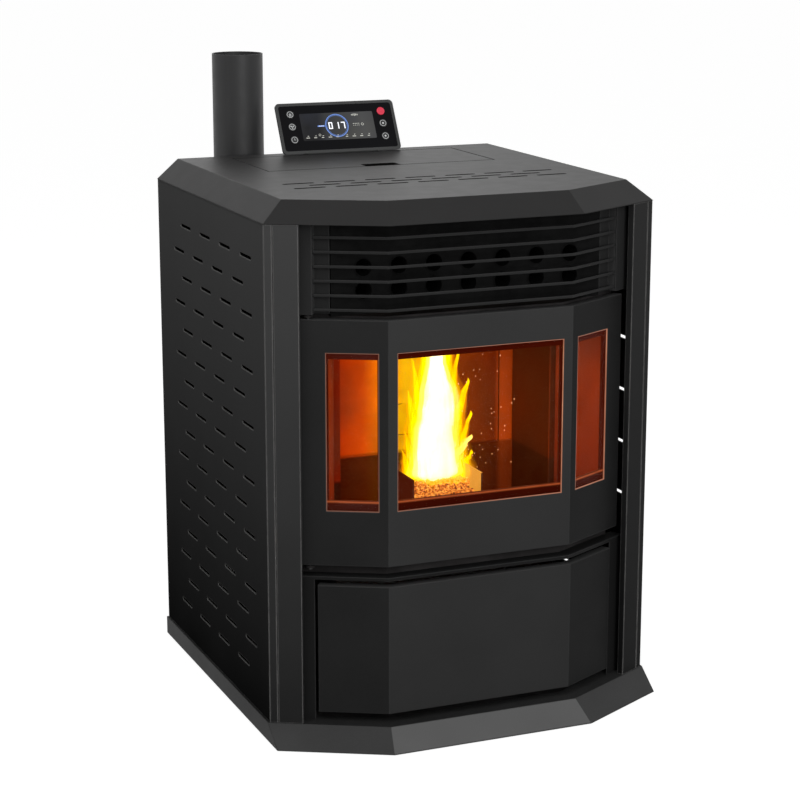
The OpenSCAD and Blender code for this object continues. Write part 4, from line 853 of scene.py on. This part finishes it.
class STOVE_OT_light_fire(bpy.types.Operator):
    """Flames over the burn pot: white core, yellow body and orange fringe, with sparks"""
    bl_idname = "stove.light_fire"
    bl_label = "Light Fire"

    def execute(self, context):
        fire = context.scene.stove_fire
        low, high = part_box("burn_pot")
        lean, back, sink = 0.006, 0.010, 0.004
        x, y, z = (low.x + high.x) / 2 + lean, (low.y + high.y) / 2, fire.bed_level
        # height as a share of the flame, offset and half width in metres
        column = [
            (0.0, 0.000, 0.020), (0.06, 0.000, 0.036), (0.15, -0.001, 0.036), (0.31, -0.001, 0.029),
            (0.42, 0.003, 0.025), (0.52, 0.005, 0.021), (0.63, 0.003, 0.015), (0.74, 0.001, 0.010),
            (0.88, 0.002, 0.007), (1.0, 0.003, 0.003),
        ]
        body = [
            (0.0, 0.004, 0.046), (0.06, 0.004, 0.054), (0.15, 0.001, 0.050), (0.31, -0.002, 0.044),
            (0.42, 0.000, 0.039), (0.52, 0.002, 0.034), (0.63, 0.002, 0.029), (0.74, 0.002, 0.026),
            (0.88, 0.002, 0.024), (1.0, 0.002, 0.012),
        ]
        # foot and tip to the side, tip's share of the flame's height, half width
        tongues = (
            (0.010, 0.060, 0.25, 0.013), (0.026, 0.053, 0.60, 0.012), (-0.028, -0.043, 0.56, 0.011),
            (-0.012, -0.018, 1.0, 0.012), (0.012, 0.024, 1.0, 0.012), (0.036, 0.058, 0.40, 0.008),
            (-0.036, -0.049, 0.32, 0.009), (0.022, 0.043, 0.47, 0.010), (-0.020, -0.036, 0.74, 0.009),
            (0.018, 0.036, 0.78, 0.009), (-0.042, -0.052, 0.20, 0.007), (0.044, 0.060, 0.16, 0.007),
        )
        shares = (0, 0.3, 0.6, 0.85, 1)
        side_tongues = [
            [(t * top, foot + (tip - foot) * t ** 2, half * (1 - t ** 1.8) + 0.0004) for t in shares]
            for foot, tip, top, half in tongues
        ]
        # parts, how much wider than the tables by share and in metres, and the gas
        shells = [
            ("flame_core", (column,), 1.0, 0.0, ("white heat", (1.0, 0.95, 0.78), (1.0, 0.97, 0.90), 3.4, 1.0)),
            ("flame_heart", (column, *side_tongues[:1]), 1.1, 0.005,
             ("pale flame", (1.0, 0.90, 0.22), (1.0, 0.92, 0.30), 2.6, 0.36)),
            ("flame_body", (body, *side_tongues), 1.0, 0.0,
             ("yellow flame", (1.0, 0.72, 0.0), (1.0, 0.76, 0.0), 2.6, 0.28)),
            ("flame_fringe", (body, *side_tongues), 1.05, 0.005,
             ("orange fringe", (1.0, 0.34, 0.0), (1.0, 0.32, 0.0), 2.4, 0.16)),
        ]
        for name, parts, girth, spread, gas in shells:
            bm = bmesh.new()
            for i, levels in enumerate(parts):
                raised = [(level[0] * fire.height, *level[1:]) for level in levels]
                flame_tongue(bm, (x, y + back, z - sink), raised, 1.7 + 3.1 * i, girth, spread)
            make_piece(bm, name, CASING, flame_gas(*gas), smooth=True)
        # Sparks drift in a cloud right of the flame
        cloud, reach = (x + 0.070, y, z + 0.085), (0.08, 0.06, 0.17)
        bm = bmesh.new()
        for i in range(fire.spark_count):
            drift = Vector([noise.noise(Vector((i * 3.7, k * 5.1, 2.3))) for k in range(3)])
            spot = Vector([cloud[k] + drift[k] * reach[k] for k in range(3)])
            size = 0.0004 + 0.0004 * abs(drift.x)
            place = Matrix.Translation(spot) @ Matrix.Diagonal((size, size, size * 2.2, 1))
            bmesh.ops.create_icosphere(bm, subdivisions=1, radius=1.0, matrix=place)
        gas = flame_gas("spark", (1.0, 0.45, 0.15), (1.0, 0.55, 0.3), 2.2, 1.0)
        make_piece(bm, "sparks", CASING, gas)
        return {"FINISHED"}


class STOVE_OT_fill_pot(bpy.types.Operator):
    """Burning wood pellets heaped in the pot"""
    bl_idname = "stove.fill_pot"
    bl_label = "Fill Pot"

    def execute(self, context):
        fire = context.scene.stove_fire
        low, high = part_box("burn_pot")
        middle = (low + high) / 2
        wall_x, wall_y = 0.009, 0.010
        half_x, half_y = (high.x - low.x) / 2 - wall_x, (high.y - low.y) / 2 - wall_y
        heap, slope, layer = 0.006, 0.016, 0.008
        bm = bmesh.new()
        for i in range(fire.pellet_count):
            pick = [noise.cell(Vector((i * 1.37 + k * 11.1, k * 3.3, 7.7))) for k in range(6)]
            front = max(0.0, -pick[1])
            crown = heap * (1 - (pick[0] ** 2 + pick[1] ** 2) / 2) - slope * front ** 2
            spot = (
                middle.x + half_x * pick[0], middle.y + half_y * pick[1],
                fire.bed_level - 0.004 + crown - layer * abs(pick[2]),
            )
            turn = Matrix.Rotation(math.pi * pick[4], 4, "Z")
            tilt = Matrix.Rotation(math.pi / 2 + 0.5 * pick[5], 4, "Y")
            bmesh.ops.create_cone(
                bm, cap_ends=True, segments=8, radius1=fire.pellet_radius, radius2=fire.pellet_radius,
                depth=0.009 + 0.006 * abs(pick[3]), matrix=Matrix.Translation(spot) @ (turn @ tilt),
            )
        # A block under the pellets, so that no gap between them shows the pot's floor
        depth, tall = 0.024, 0.030
        place = Matrix.Translation((middle.x, middle.y, fire.bed_level - depth))
        size = Matrix.Diagonal((half_x * 2, half_y * 2, tall, 1))
        bmesh.ops.create_cube(bm, size=1.0, matrix=place @ size)
        make_piece(bm, "pellet_bed", CASING, ember("burning pellets"))
        return {"FINISHED"}


# Control panel
SCREEN_FRONT = 0.0001
READING_X, READING_Z = -0.002, 0.0455
BUTTON_X = 0.077
BUTTON_ROWS = (0.067, 0.046, 0.024)
DIGIT_STROKES = {
    "0": "abcdef", "1": "bc", "2": "abged", "3": "abgcd", "4": "fgbc",
    "5": "afgcd", "6": "afgedc", "7": "abc", "8": "abcdefg", "9": "abcdfg",
}


def draw_digit(bm, figure, x, z, height):
    """A figure of the display, made of straight strokes."""
    width, stroke = height * 0.5, height * 0.17
    grow = stroke * 0.9
    level, upright = (width + grow, stroke), (stroke, height / 2 + grow)
    strokes = {
        "a": (0, height / 2, *level), "g": (0, 0, *level), "d": (0, -height / 2, *level),
        "b": (width / 2, height / 4, *upright), "c": (width / 2, -height / 4, *upright),
        "f": (-width / 2, height / 4, *upright), "e": (-width / 2, -height / 4, *upright),
    }
    # A one's only upright stands that far right of its place's middle
    one = 0.0028
    shift = one - width / 2 if figure == "1" else 0
    for key in DIGIT_STROKES[figure]:
        dx, dz, w, h = strokes[key]
        bar(bm, w, h, panel_place(x + dx + shift, SCREEN_FRONT, z + dz), stroke * 0.4)


class STOVE_OT_dress_panel(bpy.types.Operator):
    """Plastic of the control panel, its lit screen, the ring and the reading"""
    bl_idname = "stove.dress_panel"
    bl_label = "Dress Panel"

    def execute(self, context):
        panel = context.scene.stove_panel
        coat_nodes(moulding("panel shell", (0.026, 0.027, 0.027), 0.5), "control_housing")
        coat_nodes(moulding("panel face", (0.002, 0.002, 0.003), 0.12, 0.08), "control_face")
        coat_nodes(moulding("socket plastic", (0.012, 0.012, 0.012), 0.45), "power_inlet", "levelling_feet")
        half, height, thickness = 0.062, 0.046, 0.0003
        bm = bmesh.new()
        bar(bm, half * 2, height, panel_place(0, SCREEN_FRONT + thickness, 0.0445), 0.002, thickness)
        make_piece(bm, "screen", CASING, self.lit_screen(half))
        centre = panel_place(READING_X, PRINT, READING_Z)
        bm = bmesh.new()
        ring(bm, panel.ring_radius, 0.0013, centre, 64)
        ring(bm, panel.ring_radius - 0.0022, 0.0004, centre, 64)
        bar(bm, 0.012, 0.0022, panel_place(-0.0285, PRINT, READING_Z), 0.0008)
        make_piece(bm, "screen_ring", CASING, light_paint("ring glow", panel.glow, 1.1))
        pitch, digit_height = 0.0106, 0.0098
        bm = bmesh.new()
        for i, figure in enumerate(panel.reading):
            x = READING_X + (i - (len(panel.reading) - 1) / 2) * pitch
            draw_digit(bm, figure, x, READING_Z, digit_height)
        light = light_paint("figure light", (0.85, 0.88, 0.92), 1.15)
        make_piece(bm, "screen_reading", CASING, light)
        return {"FINISHED"}

    def lit_screen(self, half):
        """Dark glass with an uneven light behind it, brighter to the right."""
        s = Shader("screen")
        picture = s.ramp(s.span(s.axes()[0], -half, half), [
            (0.0, (0.010, 0.010, 0.010)), (0.10, (0.004, 0.004, 0.004)), (0.24, (0.006, 0.006, 0.006)),
            (0.34, (0.030, 0.031, 0.030)), (0.50, (0.042, 0.042, 0.037)), (0.85, (0.070, 0.070, 0.066)),
            (1.0, (0.055, 0.055, 0.054)),
        ])
        s.set(
            Base_Color=(0.01, 0.01, 0.011),
            Roughness=s.uneven(200, 1, 0.16, 0.22),
            Specular_IOR_Level=0.1,
            Emission_Color=s.mix(s.uneven(28, 2, 0.0, 0.4), picture, (0.03, 0.034, 0.05)),
            Emission_Strength=1.0,
        )
        return s.material


class STOVE_OT_screen_marks(bpy.types.Operator):
    """Small generic marks round the reading: bars, rings and dashes"""
    bl_idname = "stove.screen_marks"
    bl_label = "Screen Marks"

    def execute(self, context):
        bm = bmesh.new()

        def dash(x, z, w, h):
            bar(bm, w, h, panel_place(x, PRINT, z), min(w, h) * 0.3)

        for i, tall in enumerate((0.002, 0.003, 0.004, 0.003, 0.0024)):
            dash(0.026 + i * 0.0024, 0.0625, 0.0012, tall)
        for i in range(4):
            dash(0.0265 + i * 0.003, 0.0475, 0.002, 0.0008)
            dash(0.0265 + i * 0.003, 0.0445, 0.0014, 0.0008)
        ring(bm, 0.0022, 0.0006, panel_place(0.0415, PRINT, 0.046), 20)
        for i in range(9):
            x = -0.054 + i * 0.0125 + (0.003 if i > 4 else 0)
            dash(x, 0.0262, 0.006 - 0.001 * (i % 3), 0.0011)
            dash(x + 0.001, 0.0292, 0.0022, 0.0009)
        ring(bm, 0.0019, 0.0005, panel_place(-0.0335, PRINT, 0.0305), 20)
        light = light_paint("mark light", (0.45, 0.45, 0.41), 1.1)
        make_piece(bm, "screen_marks", CASING, light)
        bm = bmesh.new()
        for i in range(3):
            bar(bm, 0.0022, 0.0009, panel_place(-0.0315 + i * 0.003, 0.00005, READING_Z), 0.0003)
        light = light_paint("dash light", (0.75, 0.80, 0.95), 1.0)
        make_piece(bm, "screen_dashes", CASING, light)
        return {"FINISHED"}


class STOVE_OT_dress_buttons(bpy.types.Operator):
    """Push buttons with a printed ring and a generic sign on each"""
    bl_idname = "stove.dress_buttons"
    bl_label = "Dress Buttons"

    def execute(self, context):
        cap = moulding("button cap", (0.010, 0.010, 0.011), 0.3)
        coat_nodes(cap, "button_mode", "button_fan", "button_timer", "button_up", "button_down")
        coat_nodes(self.red_cap(), "button_power")
        print_ink = light_paint("sign ink", (0.42, 0.43, 0.43), 0.9)
        signs = (
            ("sign_mode", "mode_button", -1, 0, self.flame_sign),
            ("sign_fan", "fan_button", -1, 1, self.fan_sign),
            ("sign_timer", "timer_button", -1, 2, self.clock_sign),
            ("sign_up", "up_button", 1, 1, self.dot_sign),
            ("sign_down", "down_button", 1, 2, self.dot_sign),
        )
        for name, body, side, row, draw in signs:
            bm = bmesh.new()
            ring(bm, 0.0052, 0.0007, self.spot(side, row), 36)
            draw(bm, side, row)
            make_piece(bm, name, body, print_ink)
        return {"FINISHED"}

    def red_cap(self):
        s = Shader("red button")
        glow = s.noise(240, 2)
        s.set(
            Base_Color=s.mix(s.span(glow, 0.3, 0.7), (0.52, 0.018, 0.045), (0.62, 0.03, 0.07)),
            Roughness=s.span(glow, 0.3, 0.7, 0.25, 0.32),
            Emission_Color=(0.55, 0.02, 0.05),
            Emission_Strength=0.35,
            Normal=s.bump(glow, 0.05, 0.0001, s.soft_edges(0.001)),
        )
        return s.material

    def spot(self, side, row, x=0.0, z=0.0, turn=0.0):
        place = panel_place(side * BUTTON_X + x, -0.0001, BUTTON_ROWS[row] + z)
        return place @ Matrix.Rotation(turn, 4, "Z")

    def flame_sign(self, bm, side, row):
        for x, z, tall in ((-0.0014, -0.0003, 0.0030), (0, 0.0003, 0.0042), (0.0014, -0.0003, 0.0030)):
            bar(bm, 0.0008, tall, self.spot(side, row, x, z), 0.0003)
        bar(bm, 0.0044, 0.0007, self.spot(side, row, 0, -0.0026), 0.0003)

    def fan_sign(self, bm, side, row):
        for k in range(3):
            turn = 2 * math.pi * k / 3 + 0.5
            x, z = 0.0019 * math.cos(turn), 0.0019 * math.sin(turn)
            bar(bm, 0.0028, 0.0016, self.spot(side, row, x, z, turn + 0.5), 0.0007)

    def clock_sign(self, bm, side, row):
        bar(bm, 0.0007, 0.0028, self.spot(side, row, 0, 0.0012), 0.0002)
        bar(bm, 0.0022, 0.0007, self.spot(side, row, 0.0009, -0.0002), 0.0002)

    def dot_sign(self, bm, side, row):
        thicken(bm, disc_face(bm, 0.0016, self.spot(side, row), 20))


# Fittings
class STOVE_OT_drive_screws(bpy.types.Operator):
    """Screws with a sunk socket that hold the rear panel"""
    bl_idname = "stove.drive_screws"
    bl_label = "Drive Screws"

    def execute(self, context):
        low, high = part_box("rear_panel")
        outwards = Matrix.Rotation(math.radians(-90), 4, "X")
        edge, end, first, pitch = 0.008, 0.012, 0.02, 0.128
        spots = [(x, low.z + first + i * pitch) for x in (low.x + edge, high.x - edge) for i in range(6)]
        spots += [(x, z) for x in (-0.2, -0.06, 0.06, 0.2) for z in (low.z + end, high.z - end)]
        bm = bmesh.new()
        for i, (x, z) in enumerate(spots):
            self.screw(bm, Matrix.Translation((x, high.y, z)) @ outwards @ Matrix.Rotation(i * 0.7, 4, "Z"))
        steel = bare_steel("black screw", (0.09, 0.09, 0.09), 0.4)
        make_piece(bm, "rear_screws", CASING, steel)
        return {"FINISHED"}

    def screw(self, bm, place):
        foot, crown, tall = 0.0040, 0.0026, 0.0018
        made = bmesh.ops.create_cone(
            bm, cap_ends=True, segments=16, radius1=foot, radius2=crown, depth=tall,
            matrix=place @ Matrix.Translation((0, 0, tall / 2)),
        )["verts"]
        outer = place.to_3x3() @ Vector((0, 0, 1))
        faces = {f for v in made for f in v.link_faces}
        top = [f for f in faces if f.normal.dot(outer) > 0.9 and len(f.verts) > 8]
        bmesh.ops.inset_region(bm, faces=top, thickness=crown / 2)
        bmesh.ops.translate(bm, vec=outer * (-tall / 2), verts=list({v for f in top for v in f.verts}))


class STOVE_OT_fit_inlet(bpy.types.Operator):
    """Contact blades in the mains socket, and the rocker's plastic"""
    bl_idname = "stove.fit_inlet"
    bl_label = "Fit Inlet"

    def execute(self, context):
        coat_nodes(moulding("rocker plastic", (0.02, 0.02, 0.02), 0.3), "power_rocker")
        low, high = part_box("power_inlet")
        x, y, z = low.x + 0.020, high.y - 0.0125, (low.z + high.z) / 2
        bm = bmesh.new()
        for dx, dz in ((0, 0.0035), (-0.007, -0.003), (0.007, -0.003)):
            place = Matrix.Translation((x + dx, y, z + dz)) @ UPRIGHT
            bar(bm, 0.0018, 0.004, place, 0.0004, thickness=0.012)
        brass = bare_steel("contact brass", (0.62, 0.55, 0.40), 0.3)
        make_piece(bm, "inlet_blades", CASING, brass)
        return {"FINISHED"}


class STOVE_OT_spread_ash(bpy.types.Operator):
    """Thin layer of ash in the pan"""
    bl_idname = "stove.spread_ash"
    bl_label = "Spread Ash"

    def execute(self, context):
        low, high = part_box("ash_pan")
        width, depth = 0.292, 0.150
        middle, floor = high.y - 0.082, low.z + 0.0016
        bm = bmesh.new()
        for v in bmesh.ops.create_grid(bm, x_segments=60, y_segments=32, size=0.5)["verts"]:
            edge = max(abs(v.co.x), abs(v.co.y)) * 2
            heap = 0.010 * (1 - edge ** 4) + 0.003 * noise.noise(v.co * 9) * (1 - edge ** 6) + 0.001
            v.co = Vector((v.co.x * width, middle + v.co.y * depth, floor + max(heap, 0.0004)))
        s = Shader("ash")
        fine = s.noise(500, 4, 0.65)
        s.set(
            Base_Color=s.ramp(fine, [
                (0.35, (0.16, 0.15, 0.14)), (0.55, (0.34, 0.33, 0.31)), (0.72, (0.06, 0.055, 0.05)),
            ]),
            Roughness=s.span(fine, 0, 1, 0.9, 1.0),
            Normal=s.bump(fine, 0.8, 0.0008),
        )
        make_piece(bm, "ash", "ash_drawer", s.material, smooth=True)
        return {"FINISHED"}


# Stage
class STOVE_OT_set_stage(bpy.types.Operator):
    """White floor and surroundings, soft lamps and the camera"""
    bl_idname = "stove.set_stage"
    bl_label = "Set Stage"

    def execute(self, context):
        scene = context.scene
        stage = scene.stove_stage
        scene.view_settings.view_transform = "Standard"
        scene.world = bpy.data.worlds.new("studio")
        scene.world.use_nodes = True
        sky = Nodes(scene.world.node_tree)
        back = sky.tree.nodes["Background"]
        sky.put(back.inputs["Color"], (1, 1, 1))
        sky.put(back.inputs["Strength"], sky.span(sky.in_view(), 0.0, 1.0, stage.room_light, 1.0))
        self.floor()
        self.lamp("key", (-1.4, -1.4, 3.2), (0, 0, 0.5), 2.0, 28)
        self.lamp("front", (0.1, -3.6, 1.5), (0, 0, 0.4), 1.8, 50)
        self.lamp("rear", (0.6, 2.6, 2.4), (0, 0, 0.6), 1.8, 14)
        camera = bpy.data.cameras.new("camera")
        camera.sensor_width = 36
        camera.lens = stage.camera_lens
        camera.clip_start, camera.clip_end = 0.05, 100
        eye = bpy.data.objects.new("camera", camera)
        scene.collection.objects.link(eye)
        eye.location = stage.camera_place
        eye.rotation_euler = (math.pi / 2 - stage.camera_drop, 0, -stage.camera_turn)
        scene.camera = eye
        return {"FINISHED"}

    def floor(self):
        """White in the camera's view, and grey paper to the light that it throws back."""
        s = Shader("studio floor")
        seen = s.in_view()
        paper = s.add("ShaderNodeBsdfDiffuse", {"Color": s.mix(seen, (0.18, 0.18, 0.18), (0.34, 0.34, 0.34))})
        white = s.add("ShaderNodeEmission", {"Color": (1, 1, 1), "Strength": s.product(seen, 0.86)})
        both = s.add("ShaderNodeAddShader")
        s.put(both.inputs[0], paper.outputs[0])
        s.put(both.inputs[1], white.outputs[0])
        s.put(s.tree.nodes["Material Output"].inputs["Surface"], both.outputs[0])
        bm = bmesh.new()
        reach = 30
        bmesh.ops.create_grid(bm, x_segments=1, y_segments=1, size=reach)
        mesh = bpy.data.meshes.new("studio_floor")
        bm.to_mesh(mesh)
        bm.free()
        mesh.materials.append(s.material)
        floor = bpy.data.objects.new("studio_floor", mesh)
        bpy.context.scene.collection.objects.link(floor)

    def lamp(self, name, spot, aim, size, watts):
        light = bpy.data.lights.new(name, "AREA")
        light.shape = "SQUARE"
        light.size = size
        light.energy = watts
        lamp = bpy.data.objects.new(name, light)
        bpy.context.scene.collection.objects.link(lamp)
        lamp.location = spot
        lamp.rotation_euler = (Vector(aim) - Vector(spot)).to_track_quat("-Z", "Y").to_euler()


OPERATORS = (
    STOVE_OT_coat_front, STOVE_OT_coat_sides, STOVE_OT_coat_top, STOVE_OT_paint_inside,
    STOVE_OT_line_firebox, STOVE_OT_plate_steel, STOVE_OT_paint_flue, STOVE_OT_glaze_door,
    STOVE_OT_lay_gasket, STOVE_OT_fill_pot, STOVE_OT_light_fire, STOVE_OT_dress_panel,
    STOVE_OT_screen_marks, STOVE_OT_dress_buttons, STOVE_OT_drive_screws, STOVE_OT_fit_inlet,
    STOVE_OT_spread_ash, STOVE_OT_set_stage,
)
GROUPS = {
    "stove_finish": StoveFinish,
    "stove_fire": StoveFire,
    "stove_panel": StovePanel,
    "stove_stage": StoveStage,
}


class STOVE_PT_steps(bpy.types.Panel):
    """Values and steps of the stove"""
    bl_idname = "STOVE_PT_steps"
    bl_label = "Pellet Stove"
    bl_space_type = "VIEW_3D"
    bl_region_type = "UI"
    bl_category = "Stove"

    def draw(self, context):
        for key, group in GROUPS.items():
            box = self.layout.box()
            values = getattr(context.scene, key)
            for name in group.__annotations__:
                box.prop(values, name)
        for operator in OPERATORS:
            self.layout.operator(operator.bl_idname)


CLASSES = (*GROUPS.values(), *OPERATORS, STOVE_PT_steps)


def register():
    for cls in CLASSES:
        bpy.utils.register_class(cls)
    for key, group in GROUPS.items():
        setattr(bpy.types.Scene, key, PointerProperty(type=group))


def unregister():
    for key in GROUPS:
        delattr(bpy.types.Scene, key)
    for cls in reversed(CLASSES):
        bpy.utils.unregister_class(cls)


def main():
    """Registers the add-on and runs every step in order."""
    register()
    for operator in OPERATORS:
        group, name = operator.bl_idname.split(".")
        getattr(getattr(bpy.ops, group), name)()


if __name__ == "__main__":
    main()
